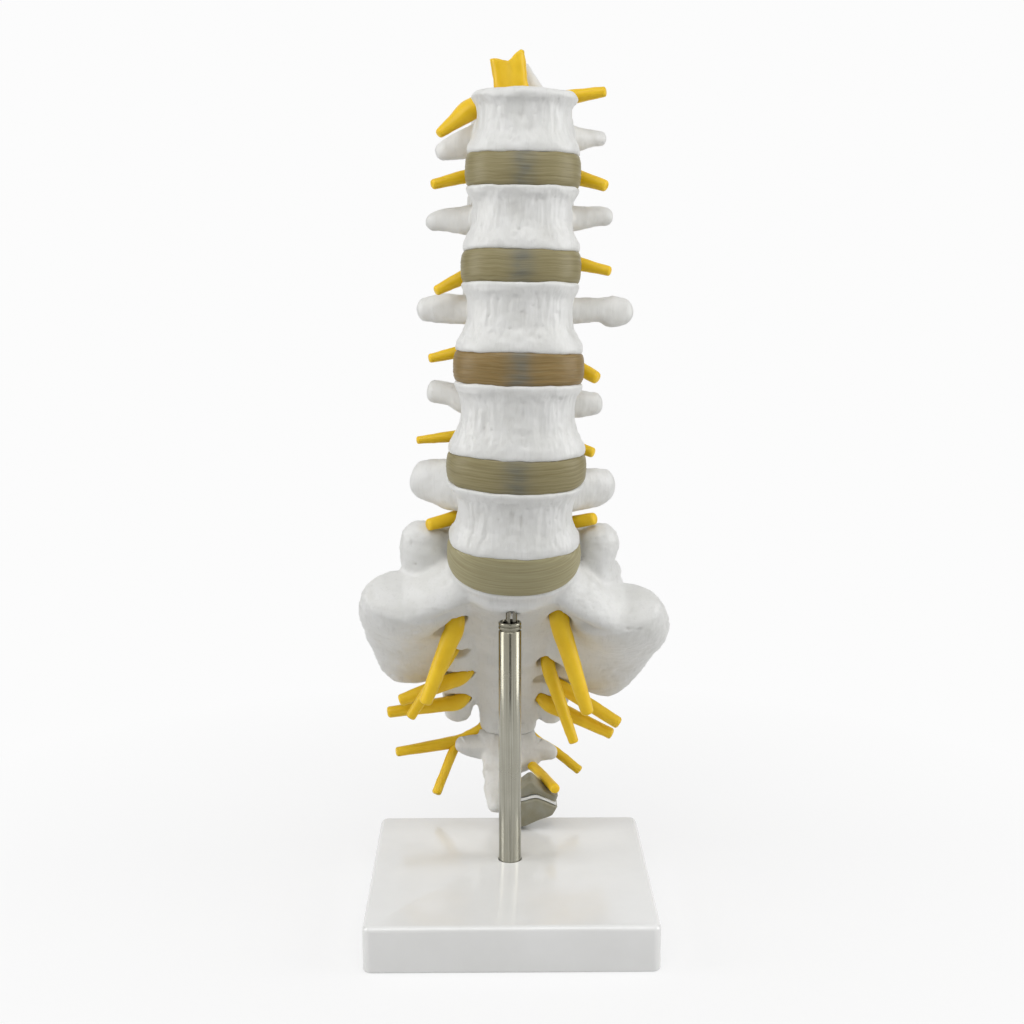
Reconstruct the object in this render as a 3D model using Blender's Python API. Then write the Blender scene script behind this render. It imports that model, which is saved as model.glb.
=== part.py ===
"""A life-size lumbar spine teaching model on a stand.

Five lumbar vertebrae and their discs are threaded on a steel rod. The rod stands in a metal post,
which is screwed to a white square base. The sacrum, the coccyx and the yellow nerve cord with its
pairs of nerve roots complete the model.

World frame: origin under the middle of the base, +Z up, -Y to the front of the body, +X to the
viewer's right. Each vertebra has its own frame: X to the side, Y to the back, Z up its own axis.
The sacrum's frame runs down its length: X to the side, Y out of its hollow front face, Z up.
"""

import math
from collections import namedtuple

import bmesh
import bpy
from mathutils import Matrix, Vector

MM = 0.001
FIT_GAP = 0.35 * MM

# Base plate
BASE_SIDE = 110 * MM
BASE_THICKNESS = 18 * MM
BASE_CORNER = 3 * MM
BASE_EDGE = 1.6 * MM

# Soft pads beside the tip of the tail bone: the plane where they start, the y where they start and
# end, and their outlines as (x, z) points. All are in millimetres from the middle of the sacrum's end.
TAIL_LEFT = -0.9 * MM
TAIL_FRONT = -34.4 * MM
TAIL_BACK = -20.9 * MM
TAIL_LAYER = 0.7 * MM
TAIL_TOP = ((2.3, -14.8), (5.5, -12.3), (9.3, -9.8), (12.5, -12.2), (15.8, -14.8), (20.9, -17.0))
TAIL_SEAM = ((None, -18.6), (5.7, -18.0), (11.2, -16.6), (14.8, -17.6), (20.1, -20.0))
TAIL_FOOT = ((20.6, -21.4), (19.3, -23.8), (17.9, -25.4), (13.5, -27.0), (9.3, -28.9), (5.3, -30.2),
             (1.3, -30.6))

# Pose of the spine. The lowest pad hangs this far above the base, and that sets the height of the
# sacrum's end and of the promontory, its front upper edge.
PAD_LIFT = 1.2 * MM
TAIL_HEIGHT = BASE_THICKNESS + PAD_LIFT - TAIL_FOOT[-1][1] * MM
LEAN = math.radians(1.3)
PLATEAU_TILT = math.radians(40)
SACRUM_TILT = math.radians(42)

# Sacrum. Its tables are drawn for a length of 106 mm and stretch with it.
PLATEAU_WIDTH = 52 * MM
PLATEAU_DEPTH = 33 * MM
SACRUM_LENGTH = 106 * MM
STRETCH = SACRUM_LENGTH / (106 * MM)
CANAL_WIDTH = 22 * MM
PROMONTORY = Vector((1.5 * MM, 1 * MM, TAIL_HEIGHT + math.cos(SACRUM_TILT) * SACRUM_LENGTH))

# Post, its collar and the screw that holds it
POST_Y = 9 * MM
POST_RADIUS = 4.5 * MM
POST_TOP = PROMONTORY.z - 12.2 * MM
POST_SEAT = 9 * MM
POST_MOUTH_RADIUS = 3 * MM
POST_MOUTH_DEPTH = 5 * MM
COLLAR_HEIGHT = 4.4 * MM
COLLAR_WALL = 0.7 * MM
COLLAR_GROOVE = 0.35 * MM
SCREW_RADIUS = 2.5 * MM
SCREW_HEAD_RADIUS = 4.6 * MM
SCREW_HEAD_HEIGHT = 3 * MM
SCREW_GRIP = 14 * MM
SCREW_SINK = 1 * MM

# Steel rod through the bodies
ROD_RADIUS = 2 * MM
ROD_IN_POST = 30 * MM
ROD_STOP = 7 * MM
ROD_HOLE_GAP = 0.45 * MM

# Nerve cord
CORD_WIDTH = 13.4 * MM
CORD_DEPTH = 8.6 * MM
CORD_RISE = 15.6 * MM
CORD_SETBACK = 9.5 * MM

# Fineness of the cast bone
VOXEL = 1.25 * MM
SMOOTHING = 5

# Per vertebra: widths of the lower and upper face, depth and height of the body, tilts of its two
# faces, the disc below, how high the pedicles start, the half spacing of the lower joint faces, the
# side bars on the left (-X) and the right (+X), and the drop of the spine. A positive tilt drops the
# front. A side bar is rows of (reach, height, half its height) and the length of its rounded tip.
Vertebra = namedtuple(
    "Vertebra",
    "name low_width high_width depth height tilt_below tilt_above disc_below pedicle_rise joint left right "
    "drop",
)
Bar = namedtuple("Bar", "rows tip")
COLUMN = (
    Vertebra("L5", 51.4, 53.0, 34.5, 25.8, 12.0, 8.0, 10.0, 3.0, 17.0,
             Bar(((17, 4.2, 9.5), (26.1, 4.2, 10.4), (30.5, 4.4, 9.8), (35, 4.4, 8.9),
                  (37.4, 4.8, 7.8)), 4.4),
             Bar(((17, 3.3, 8.5), (27.4, 3.3, 8.8), (33.1, 2.8, 8.2), (35.8, 3, 7.2)), 5.0), -6.0),
    Vertebra("L4", 53.0, 49.0, 34.0, 27.7, 3.0, 0.0, 10.9, 3.5, 11.0,
             Bar(((15, 2.2, 6.2), (21, 2.8, 5.5), (25.2, 4.2, 4.7), (29.5, 5, 4.6), (33.4, 5.4, 4.6)), 2.5),
             Bar(((15, 2, 6.2), (24.8, 1.8, 5.7), (28.9, 1.6, 5.0), (31.7, 1.8, 4.5)), 2.9), -8.0),
    Vertebra("L3", 49.0, 44.6, 33.5, 26.4, -3.0, -4.0, 10.7, 3.0, 10.4,
             Bar(((15, 2.6, 6.2), (21.9, 2.9, 5.9), (27.2, 3, 5.9), (32.4, 2.9, 5.7),
                  (36.6, 2.5, 4.8)), 3.8),
             Bar(((15, 3, 6), (23.9, 3.3, 5.1), (30.1, 3.8, 4.8), (33.2, 3.7, 5.2), (36.3, 3.2, 6.2),
                  (40.8, 3.3, 5.8)), 4.9), -8.0),
    Vertebra("L2", 44.8, 42.9, 33.0, 24.1, -5.0, -3.6, 11.3, 2.0, 10.0,
             Bar(((15, 1.6, 6), (20.9, 1, 5.8), (25.6, 1.2, 5.1), (30.3, 1.1, 4.4), (33.8, 0.6, 3.7)), 3.7),
             Bar(((15, 2.2, 6), (21.3, 2.7, 5.0), (25.6, 3.4, 4.3), (29.8, 4, 3.9),
                  (34, 4, 3.6)), 2.3), -7.0),
    Vertebra("L1", 42.7, 40.0, 31.5, 23.0, -4.0, -4.0, 11.5, -3.0, 9.8,
             Bar(((15, -2.6, 6.2), (19.9, -4, 5.9), (24.6, -5.5, 5.4), (29.3, -7, 4.4),
                  (31.2, -7.7, 3.7)), 2.8),
             Bar(((15, -2.6, 6), (21.6, -2.1, 4.7), (24.7, -1.5, 3.9), (27.9, -1.2, 3.3),
                  (31, -1.2, 2.9)), 1.7),
             -8.0),
)

# Nerve roots that leave beside the discs, each in the frame of its vertebra: the height where the
# pair leaves the cord, the tips of the left and of the right one, and the radii at the root and at
# the two tips.
LUMBAR_NERVES = (
    ("T12", "L1", 14.2, (-31.5, 10.1, -2.8), (30.4, 15.9, 14.7), 3.2, 2.3, 2.3),
    ("L1", "L1", -11.7, (-33.6, 12.4, -21.6), (31.4, 12.3, -20.7), 2.9, 2.3, 2.3),
    ("L2", "L2", -10.1, (-31.7, 14.8, -26.5), (34.0, 14.7, -17.7), 2.9, 2.1, 2.1),
    ("L3", "L3", -8.6, (-33.8, 15.9, -16.3), (30.1, 13.3, -22.3), 2.8, 2.0, 2.4),
    ("L4", "L4", -8.5, (-38.3, 15.3, -12.1), (29.7, 14.2, -15.4), 2.7, 1.6, 2.0),
    ("L5", "L5", -8.4, (-30.7, 13.5, -9.6), (30.6, 16.8, -8.4), 2.8, 2.4, 2.4),
)

# Nerve roots of the sacrum, in its frame: per side the place across, the distance down and the
# distance back of the opening, then the two tips, and the radii at the opening and at the tip.
SACRAL_NERVES = (
    ("S1", (-22, 26, 5), (18.8, 21.5, 5), (-34.4, -16.2, -52.3), (31.3, -18.2, -54.6), 4.1, 2.8),
    ("S2", (-19.8, 53.6, 8), (16, 59, 8), (-41.2, -11.0, -73.5), (27.1, -18.5, -78.9), 2.8, 2.1),
    ("S3", (-19.7, 67.5, 7), (15, 72.5, 7), (-45.6, -1.0, -77.3), (46.2, -6.4, -83.4), 3.3, 2.6),
    ("S4", (-19.5, 82.5, 5), (17.5, 84.5, 5), (-51.0, -1.5, -86.8), (43.8, -7.7, -90.7), 3.2, 2.4),
)
# Nerve roots plugged into the lower end of the sacrum and into the tail bone: their points in
# millimetres from the middle of the sacrum's end, and the radii at the root and at the tip.
TAIL_NERVES = (
    ("S5", ("sacrum", "coccyx"), ((-6.3, -0.9, 6.4), (-11.7, 1.7, 4.4), (-16.7, 3.1, 0.4),
                                  (-23.2, 1.5, -2.0), (-48.0, -3.9, -6.8)), 2.4, 2.2),
    ("S5", ("sacrum", "coccyx"), ((6.3, -0.9, 6.2), (11.2, 4.1, -1.2), (16.5, 4.5, -4.7),
                                  (21.8, 3.1, -8.9), (32.9, 0.1, -16.6)), 2.2, 2.1),
    ("Co1", ("coccyx",), ((-4.7, -0.9, -5.2), (-11.7, 3.1, -5.6), (-23.2, 0.6, -6.6),
                          (-31.8, -9.9, -23.2)), 2.0, 2.1),
    ("Co1", ("coccyx",), ((3.9, -5.9, -7.6), (7.7, -9.4, -8.8), (12.3, -14.4, -10.4),
                          (21.7, -36.9, -12.4)), 2.1, 2.2),
)


def clear_scene():
    for obj in list(bpy.data.objects):
        bpy.data.objects.remove(obj)


def material(name, colour, roughness, metallic=0.0):
    made = bpy.data.materials.new(name)
    made.use_nodes = True
    shader = made.node_tree.nodes["Principled BSDF"]
    shader.inputs["Base Color"].default_value = (*colour, 1)
    shader.inputs["Roughness"].default_value = roughness
    shader.inputs["Metallic"].default_value = metallic
    return made


def add_object(name, bm, finish, frame=None):
    """Makes an object from a bmesh, with its faces turned outwards."""
    bmesh.ops.recalc_face_normals(bm, faces=bm.faces)
    mesh = bpy.data.meshes.new(name)
    bm.to_mesh(mesh)
    bm.free()
    obj = bpy.data.objects.new(name, mesh)
    bpy.context.scene.collection.objects.link(obj)
    if frame is not None:
        obj.matrix_world = frame
    if finish is not None:
        mesh.materials.append(finish)
    mesh.shade_smooth()
    mesh.set_sharp_from_angle(angle=math.radians(40))
    return obj


def add_cutter(name, bm, frame=None):
    obj = add_object(name, bm, None, frame)
    obj.hide_render = True
    obj.display_type = "WIRE"
    return obj


def cut(obj, cutter):
    modifier = obj.modifiers.new("cut_" + cutter.name, "BOOLEAN")
    modifier.operation = "DIFFERENCE"
    modifier.solver = "EXACT"
    modifier.object = cutter
    return modifier


def bridge(bm, rings, capped=True):
    """Joins rings of equally many points into a closed shell."""
    loops = [[bm.verts.new(point) for point in ring] for ring in rings]
    count = len(loops[0])
    for lower, upper in zip(loops, loops[1:]):
        for i in range(count):
            j = (i + 1) % count
            bm.faces.new((lower[i], lower[j], upper[j], upper[i]))
    if capped:
        bm.faces.new(reversed(loops[0]))
        bm.faces.new(loops[-1])


def turned(profile, sides):
    """A lathe shape about Z from (radius, height) points."""
    bm = bmesh.new()
    rings = []
    for radius, height in profile:
        turns = [2 * math.pi * i / sides for i in range(sides)]
        rings.append([(radius * math.cos(a), radius * math.sin(a), height) for a in turns])
    bridge(bm, rings)
    return bm


def smooth_path(points, steps):
    """Points on a Catmull-Rom curve through the given ones."""
    ends = [points[0] * 2 - points[1], *points, points[-1] * 2 - points[-2]]
    found = []
    for a, b, c, d in zip(ends, ends[1:], ends[2:], ends[3:]):
        for step in range(steps):
            t = step / steps
            found.append(0.5 * (2 * b + (c - a) * t + (2 * a - 5 * b + 4 * c - d) * t * t
                                + (3 * b - a - 3 * c + d) * t ** 3))
    found.append(points[-1].copy())
    return found


def limb(bm, stations, side=Vector((1, 0, 0)), sides=12, tip=None):
    """A rounded limb of oval section. Each station is (centre, half size along side, half size across).

    The far end is rounded over the tip's length, or over the smaller half size.
    """
    centres = [Vector(station[0]) for station in stations]
    rings = []
    for i, (_, along_side, across) in enumerate(stations):
        ahead = centres[min(i + 1, len(centres) - 1)] - centres[max(i - 1, 0)]
        ahead.normalize()
        u = (side - ahead * side.dot(ahead)).normalized()
        v = ahead.cross(u)
        rings.append((centres[i], ahead, u * along_side, v * across))
    first, last = rings[0], rings[-1]
    for ring, sign, place in ((first, -1, 0), (last, 1, len(rings))):
        centre, ahead, u, v = ring
        bulge = tip if tip and sign > 0 else min(u.length, v.length)
        ends = [(centre + ahead * sign * bulge * 0.55, ahead, u * 0.82, v * 0.82),
                (centre + ahead * sign * bulge * 0.9, ahead, u * 0.42, v * 0.42)]
        if sign < 0:
            rings = [ends[1], ends[0], *rings]
        else:
            rings = [*rings, *ends]
    turns = [2 * math.pi * i / sides for i in range(sides)]
    bridge(bm, [[c + u * math.cos(a) + v * math.sin(a) for a in turns] for c, _, u, v in rings])


def melt(obj, voxel, smoothing):
    remesh = obj.modifiers.new("melt", "REMESH")
    remesh.mode = "VOXEL"
    remesh.voxel_size = voxel
    relax = obj.modifiers.new("relax", "SMOOTH")
    relax.factor = 0.5
    relax.iterations = smoothing


def cast(obj, keep, voxel=VOXEL, smoothing=SMOOTHING, openings=None):
    """Melts the overlapping limbs into one cast body, opens it, and keeps that share of its faces."""
    melt(obj, voxel, smoothing)
    if openings is not None:
        cut(obj, openings)
        melt(obj, voxel, 2)
    thin = obj.modifiers.new("thin", "DECIMATE")
    thin.ratio = keep


def frame_at(centre, tilt):
    """A frame that drops its front by tilt and leans to the side as the whole spine does."""
    return Matrix.Translation(centre) @ Matrix.Rotation(LEAN, 4, "Y") @ Matrix.Rotation(tilt, 4, "X")


def up_of(tilt):
    return frame_at(Vector(), tilt).to_3x3() @ Vector((0, 0, 1))


def kidney(width, depth, count):
    """The outline of a vertebral body: round in front, flatter behind. Runs anticlockwise."""
    found = []
    for i in range(count):
        a = 2 * math.pi * i / count
        x = math.copysign(abs(math.cos(a)) ** 0.92, math.cos(a)) * width / 2
        share = 0.56 if math.sin(a) < 0 else 0.44
        y = math.copysign(abs(math.sin(a)) ** 0.86, math.sin(a)) * depth * share + 0.06 * depth
        if math.sin(a) > 0:
            y -= 0.055 * depth * math.exp(-((x / (0.17 * width)) ** 2))
        found.append((x, y))
    return found


Level = namedtuple("Level", "data bottom top frame")


def stack_column():
    """Places the vertebrae on each other, from the sacral plateau up."""
    back = Matrix.Rotation(PLATEAU_TILT, 3, "X") @ Vector((0, 1, 0))
    centre = PROMONTORY + back * PLATEAU_DEPTH / 2
    plateau = frame_at(centre, PLATEAU_TILT)
    levels = []
    below = PLATEAU_TILT
    for v in COLUMN:
        low, high = math.radians(v.tilt_below), math.radians(v.tilt_above)
        centre = centre + up_of((below + low) / 2) * v.disc_below * MM
        middle_tilt = (low + high) / 2
        top = centre + up_of(middle_tilt) * v.height * MM
        levels.append(Level(v, frame_at(centre, low), frame_at(top, high),
                            frame_at((centre + top) / 2, middle_tilt)))
        centre, below = top, high
    return plateau, levels


def body_rings(v, spare):
    """The waisted drum of a body, a little longer than it ends up."""
    half = v.height * MM / 2
    rings = []
    for share in (-1.0, -0.84, -0.6, -0.3, 0.0, 0.3, 0.6, 0.84, 1.0):
        waist = 1 - 0.14 * (1 - abs(share) ** 2.4)
        width = v.low_width + (v.high_width - v.low_width) * (share + 1) / 2
        height = share * half + math.copysign(spare, share) * (abs(share) == 1)
        rings.append([(x * waist, y * waist + 0.03 * v.depth * MM * (1 - waist), height)
                      for x, y in kidney(width * MM, v.depth * MM, 28)])
    return rings


def both_sides(bm, stations, **kinds):
    for sign in (-1, 1):
        mirrored = [(Vector((sign * x, y, z)), a, b) for (x, y, z), a, b in stations]
        limb(bm, mirrored, **kinds)


def side_bar(bm, v, sign, bar):
    """One side bar, which leaves the pedicle and runs sideways and a little back."""
    rear = v.depth * MM / 2
    near, far = (-4 * MM, 11 * MM) if v.name == "L5" else (6.5 * MM, 7 * MM)
    first, last = bar.rows[0][0], bar.rows[-1][0]
    stations = []
    for reach, rise, tall in bar.rows:
        share = (reach - first) / (last - first)
        place = Vector((sign * reach * MM, rear + near + far * share, rise * MM))
        stations.append((place, (4.4 - 1.2 * share) * MM, tall * MM))
    limb(bm, stations, side=Vector((0, 1, 0)), tip=bar.tip * MM)


def vertebra(level, bone):
    """One lumbar vertebra: drum, pedicles, arch, joint faces, side bars and spine in one casting."""
    v = level.data
    rear = v.depth * MM / 2
    half = v.height * MM / 2
    rise = v.pedicle_rise * MM
    canal = CANAL_WIDTH / 2
    bm = bmesh.new()
    bridge(bm, body_rings(v, 1.2 * MM))
    pedicle_x = canal + 4.4 * MM
    wide = 1.25 if v.name == "L5" else 1.0
    both_sides(bm, [((pedicle_x - 1 * MM, rear - 9 * MM, rise), 5 * wide * MM, 6.6 * MM),
                    ((pedicle_x, rear + 4 * MM, rise), 4.3 * wide * MM, 6.0 * MM),
                    ((pedicle_x + 0.5 * MM, rear + 11 * MM, rise), 4.6 * wide * MM, 6.4 * MM)])
    upright = Vector((0, 1, 0))
    both_sides(bm, [((pedicle_x + 0.8 * MM, rear + 12.5 * MM, rise - 2 * MM), 5.2 * MM, 4.8 * MM),
                    ((19.4 * MM, rear + 13.5 * MM, rise + 6 * MM), 5.4 * MM, 3.6 * MM),
                    ((19.8 * MM, rear + 13.5 * MM, half + 4.5 * MM), 4.8 * MM, 3.1 * MM)], side=upright)
    both_sides(bm, [((20.2 * MM, rear + 17.5 * MM, rise + 4.5 * MM), 3.2 * MM, 3.2 * MM),
                    ((20.6 * MM, rear + 18 * MM, rise + 8.5 * MM), 2.8 * MM, 2.8 * MM)], side=upright)
    both_sides(bm, [((pedicle_x - 0.4 * MM, rear + 13.5 * MM, rise - 2 * MM), 4.8 * MM, 4.6 * MM),
                    ((v.joint * MM + 1.8 * MM, rear + 16 * MM, -6 * MM), 4.6 * MM, 4.3 * MM),
                    ((v.joint * MM, rear + 17 * MM, -half - 4 * MM), 4.4 * MM, 3.7 * MM)], side=upright)
    both_sides(bm, [((13.4 * MM, rear + 14.5 * MM, -3 * MM), 9.5 * MM, 3.6 * MM),
                    ((7 * MM, rear + 19.6 * MM, -5 * MM), 9.5 * MM, 3.6 * MM),
                    ((0.5 * MM, rear + 22.5 * MM, -6 * MM), 9.5 * MM, 3.8 * MM)], side=Vector((0, 0, 1)))
    tip = rear + (36 if v.name == "L5" else 43) * MM
    drop = v.drop * MM
    limb(bm, [(Vector((0, rear + 20 * MM, drop * 0.8)), 3.6 * MM, 8.6 * MM),
              (Vector((0, rear + 28 * MM, drop * 0.9)), 2.7 * MM, 9.2 * MM),
              (Vector((0, tip - 7 * MM, drop)), 3.0 * MM, 10.4 * MM),
              (Vector((0, tip, drop - 1 * MM)), 3.8 * MM, 9.2 * MM)])
    side_bar(bm, v, -1, v.left)
    side_bar(bm, v, 1, v.right)
    obj = add_object("vertebra_" + v.name, bm, bone, level.frame)
    cast(obj, 0.0295)
    for end, sign in ((level.bottom, -1), (level.top, 1)):
        face = bmesh.new()
        size = max(v.low_width, v.high_width) * MM * 1.2
        reach = rear + 4 * MM
        thick = 4 * MM
        bmesh.ops.create_cube(face, size=1, matrix=Matrix.Diagonal((size, 2 * reach, thick, 1)))
        bmesh.ops.translate(face, verts=face.verts, vec=(0, -4 * MM, sign * thick / 2))
        cut(obj, add_cutter(f"face_{v.name}_{'top' if sign > 0 else 'bottom'}", face, end))
    return obj


def disc(name, lower, upper, size_low, size_high, finish):
    """A disc that fills the wedge between two end faces and bulges a little."""
    bm = bmesh.new()
    rings = []
    for share, bulge in ((0.0, 0.985), (0.2, 1.018), (0.8, 1.018), (1.0, 0.985)):
        ring = []
        low = kidney(size_low[0] * bulge, size_low[1] * bulge, 20)
        high = kidney(size_high[0] * bulge, size_high[1] * bulge, 20)
        for (xl, yl), (xh, yh) in zip(low, high):
            a = lower @ Vector((xl, yl, FIT_GAP))
            b = upper @ Vector((xh, yh, -FIT_GAP))
            ring.append(a.lerp(b, share))
        rings.append(ring)
    bridge(bm, rings)
    return add_object(name, bm, finish)


def sacrum_frame():
    return frame_at(PROMONTORY, SACRUM_TILT)


# The sacral canal down the sacrum: (distance down, distance back, half width, half depth), in mm
SACRAL_CANAL = ((-8, 45, 14, 8), (8, 41.5, 13.6, 7.6), (26, 34, 12.6, 6.8), (46, 27, 10, 5.5),
                (66, 22, 8, 4.8), (84, 17.5, 7, 4.4), (100, 16, 6, 4.6))


def column_stations(rows):
    """Stations from rows of (across, back, down, half width, half depth) in millimetres."""
    return [(Vector((x, y, -down * STRETCH)) * MM, a * MM, b * MM) for x, y, down, a, b in rows]


def sacrum(plateau, bone, openings):
    """The sacrum in one casting: fused bodies, wings, upper joint knobs, roofs and the rear crest."""
    bm = bmesh.new()
    limb(bm, column_stations([(0, 16.0, -1, 26.4, 16.2), (0, 15.8, 4, 25.6, 15.6),
                              (0, 15.0, 12, 24.6, 14.2),
                              (0, 15.0, 18, 24, 12.4), (0, 15.9, 28, 22.6, 10.6), (0, 16.6, 40, 21, 9.1),
                              (0, 17.0, 54, 19.4, 8.7), (0, 15.4, 68, 17, 8.0), (0, 11.6, 82, 14.4, 6.7),
                              (0, 6.9, 96, 12.6, 5.8), (0, 3.6, 109, 11.8, 5.3)]), sides=24)
    limb(bm, column_stations([(-40.5, 17.5, 20, 19.5, 11.5), (-41.6, 18, 30, 20.9, 11.8),
                              (-41, 17.2, 40, 20.9, 10.4),
                              (-40.5, 16.6, 49, 20.5, 9.2), (-39.4, 15, 60, 19.4, 7.8),
                              (-38, 13.6, 70, 18.4, 6.4),
                              (-35.5, 12.4, 77, 16.4, 5.4)]), sides=16)
    limb(bm, column_stations([(40.5, 18, 26, 18.5, 11), (43.2, 18.2, 36, 21.2, 11.6),
                              (43.6, 17.6, 44, 21.2, 10.6),
                              (42, 16.2, 56, 20, 8.8), (39.8, 14.4, 68, 18.4, 7.2), (37, 12.8, 77, 16.8, 6),
                              (33.5, 11.4, 84, 16, 5.2)]), sides=16)
    both_sides(bm, column_stations([(25, 13.5, 14, 10, 8.5), (25, 14, 26, 10, 8.5),
                                    (24.5, 15.5, 44, 10, 7.5),
                                    (23.5, 14.5, 60, 10, 7), (22, 12.5, 74, 9, 6)]))
    for sign, fall in ((-1, 0), (1, 3)):
        limb(bm, [(Vector((sign * 20, 15, -9)) * MM, 8.5 * MM, 10 * MM),
                  (Vector((sign * 32, 16, -14 - fall)) * MM, 8.5 * MM, 10 * MM),
                  (Vector((sign * 42, 16.5, -19 - fall * 1.5)) * MM, 8.5 * MM, 10 * MM)],
             side=Vector((0, 0, 1)))
    limb(bm, column_stations([(-34, 24, 20, 10.5, 10), (-35.6, 27.5, 12, 10, 9.4),
                              (-36.2, 30.2, 5, 9.7, 8.6),
                              (-36.2, 30.6, 3.8, 9.0, 7.0)]))
    limb(bm, column_stations([(33.5, 24, 20, 9, 10), (33.8, 27.5, 12, 7.4, 9), (34.2, 30, 5.5, 8.2, 8),
                              (34.2, 30.8, 3.5, 8, 7.4)]))
    limb(bm, column_stations([(-19, 14, 76, 9.5, 5.4), (-21.5, 9.4, 89, 7.6, 5), (-22.2, 6, 99, 6, 4.4)]))
    limb(bm, column_stations([(18, 14, 76, 9, 5.4), (19.5, 9.4, 89, 7, 5), (18.6, 6, 99, 5.4, 4.4)]))
    limb(bm, column_stations([(0, 40.5, 20, 19, 7.0), (0, 38.5, 24, 22, 9), (0, 35, 31, 24, 10),
                              (0, 29, 46, 20, 9.5),
                              (0, 23.5, 62, 17, 8.5), (0, 18.5, 76, 14.5, 7.0),
                              (0, 14.5, 86, 13, 5.6)]), sides=20)
    both_sides(bm, column_stations([(30, 36, 5, 6, 8), (28, 35, 14, 9, 8), (27, 32, 26, 12, 8.5),
                                    (25, 27, 42, 12, 7.5),
                                    (20, 21, 60, 10, 6)]))
    both_sides(bm, column_stations([(36, 27, 20, 8, 6.5), (37, 25.5, 34, 9, 6.5),
                                    (35.5, 22, 48, 9, 6), (31, 18, 62, 9, 5.4),
                                    (26, 14.6, 74, 8, 5)]))
    for back, down, tall in ((50, 25, 6.5), (46, 38, 7), (40, 52, 6.5), (33, 66, 5.5)):
        limb(bm, [(Vector((0, back - 9, (1 - down) * STRETCH)) * MM, 3.6 * MM, (tall + 2) * MM),
                  (Vector((0, back, -down * STRETCH)) * MM, 3.0 * MM, tall * MM)])
    both_sides(bm, column_stations([(7.8, 15.2, 88, 3.4, 4), (7.6, 12.4, 97, 2.8, 3.2)]))
    obj = add_object("sacrum", bm, bone, sacrum_frame())
    cast(obj, 0.0235, openings=openings)

    top = bmesh.new()
    size = PLATEAU_WIDTH + 2 * MM
    bmesh.ops.create_cube(top, size=1, matrix=Matrix.Diagonal((size, PLATEAU_DEPTH + 8 * MM, 40 * MM, 1)))
    bmesh.ops.translate(top, verts=top.verts, vec=(0, -3 * MM, 20 * MM))
    cut(obj, add_cutter("face_S1", top, plateau))
    end = bmesh.new()
    bmesh.ops.create_cube(end, size=1, matrix=Matrix.Diagonal((60 * MM, 60 * MM, 20 * MM, 1)))
    bmesh.ops.translate(end, verts=end.verts, vec=(0, 0, -SACRUM_LENGTH - 10 * MM))
    cut(obj, add_cutter("sacrum_end", end, sacrum_frame()))
    return obj


def tube(bm, path, radii, sides, first=None):
    """A round tapering tube with a rounded far end."""
    rings = []
    u = Vector((0.1, 1, 0.2))
    for i, point in enumerate(path):
        ahead = path[min(i + 1, len(path) - 1)] - path[max(i - 1, 0)]
        if i == 0 and first is not None:
            ahead = first
        ahead = ahead.normalized()
        u = (u - ahead * u.dot(ahead)).normalized()
        rings.append((point, u, ahead.cross(u), radii[i], ahead))
    point, u, v, radius, ahead = rings[-1]
    rings[-1] = (point - ahead * radius * 0.45, u, v, radius, ahead)
    rings.append((point, u, v, radius * 0.62, ahead))
    turns = [2 * math.pi * i / sides for i in range(sides)]
    bridge(bm, [[p + (u * math.cos(a) + v * math.sin(a)) * r for a in turns] for p, u, v, r, _ in rings])


def cord_line(levels):
    """The middle of the nerve cord from its top down to its end in the sacral canal."""
    points = []
    top = levels[-1]
    rear = top.data.depth * MM / 2 + CORD_SETBACK
    for rise in (CORD_RISE + top.data.height * MM / 2, top.data.height * MM / 2 + 6 * MM):
        points.append(top.frame @ Vector((-3.4 * MM * rise / (30 * MM), rear, rise)))
    for level in reversed(levels):
        points.append(level.frame @ Vector((0, level.data.depth * MM / 2 + CORD_SETBACK, 0)))
    frame = sacrum_frame()
    for down, back, _, _ in SACRAL_CANAL[1:-1]:
        points.append(frame @ (Vector((0, back, -down * STRETCH)) * MM))
    return smooth_path(points, 2)


def cord_share(height):
    """The cord's share of its full section: whole in the lumbar canal, thin at the sacral end."""
    return max(0.3, min(1.0, 0.83 + (height - PROMONTORY.z) / (80 * MM)))


def on_line(line, height):
    for a, b in zip(line, line[1:]):
        if b.z <= height <= a.z:
            return a.lerp(b, (a.z - height) / (a.z - b.z))
    return line[-1]


def cord(line, finish):
    """The oval cord, grooved in front at its top, where a saddle is cut out of its flared rim."""
    bm = bmesh.new()
    rings = []
    for i, point in enumerate(line):
        ahead = (line[max(i - 1, 0)] - line[min(i + 1, len(line) - 1)]).normalized()
        u = (Vector((1, 0, 0)) - ahead * ahead.x).normalized()
        v = ahead.cross(u)
        share = cord_share(point.z)
        groove = 0.55 if i < 3 else 0.12
        flare = 1.0 if i == 0 else 0.94 if i < 3 else 1.0
        ring = []
        for k in range(12):
            a = 2 * math.pi * k / 12
            dent = 1 - groove * math.exp(-((math.cos(a) / 0.34) ** 2)) * (math.sin(a) < 0)
            spot = point + u * (CORD_WIDTH / 2 * share * flare * math.cos(a))
            spot += v * (CORD_DEPTH / 2 * share * flare * math.sin(a) * dent)
            if i == 0:
                spot += ahead * (4.5 * MM * (abs(math.cos(a)) ** 1.6 - 0.5))
            ring.append(spot)
        rings.append(ring)
    bridge(bm, rings)
    return add_object("nerve_cord", bm, finish)


def nerve(name, path, radius_in, radius_out, finish, sign):
    bm = bmesh.new()
    count = len(path) - 1
    radii = [radius_in + (radius_out - radius_in) * min(1.0, 1.15 * i / count) for i in range(count + 1)]
    tube(bm, path, radii, 7, first=Vector((sign, 0, 0)))
    return add_object(name, bm, finish)


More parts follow.
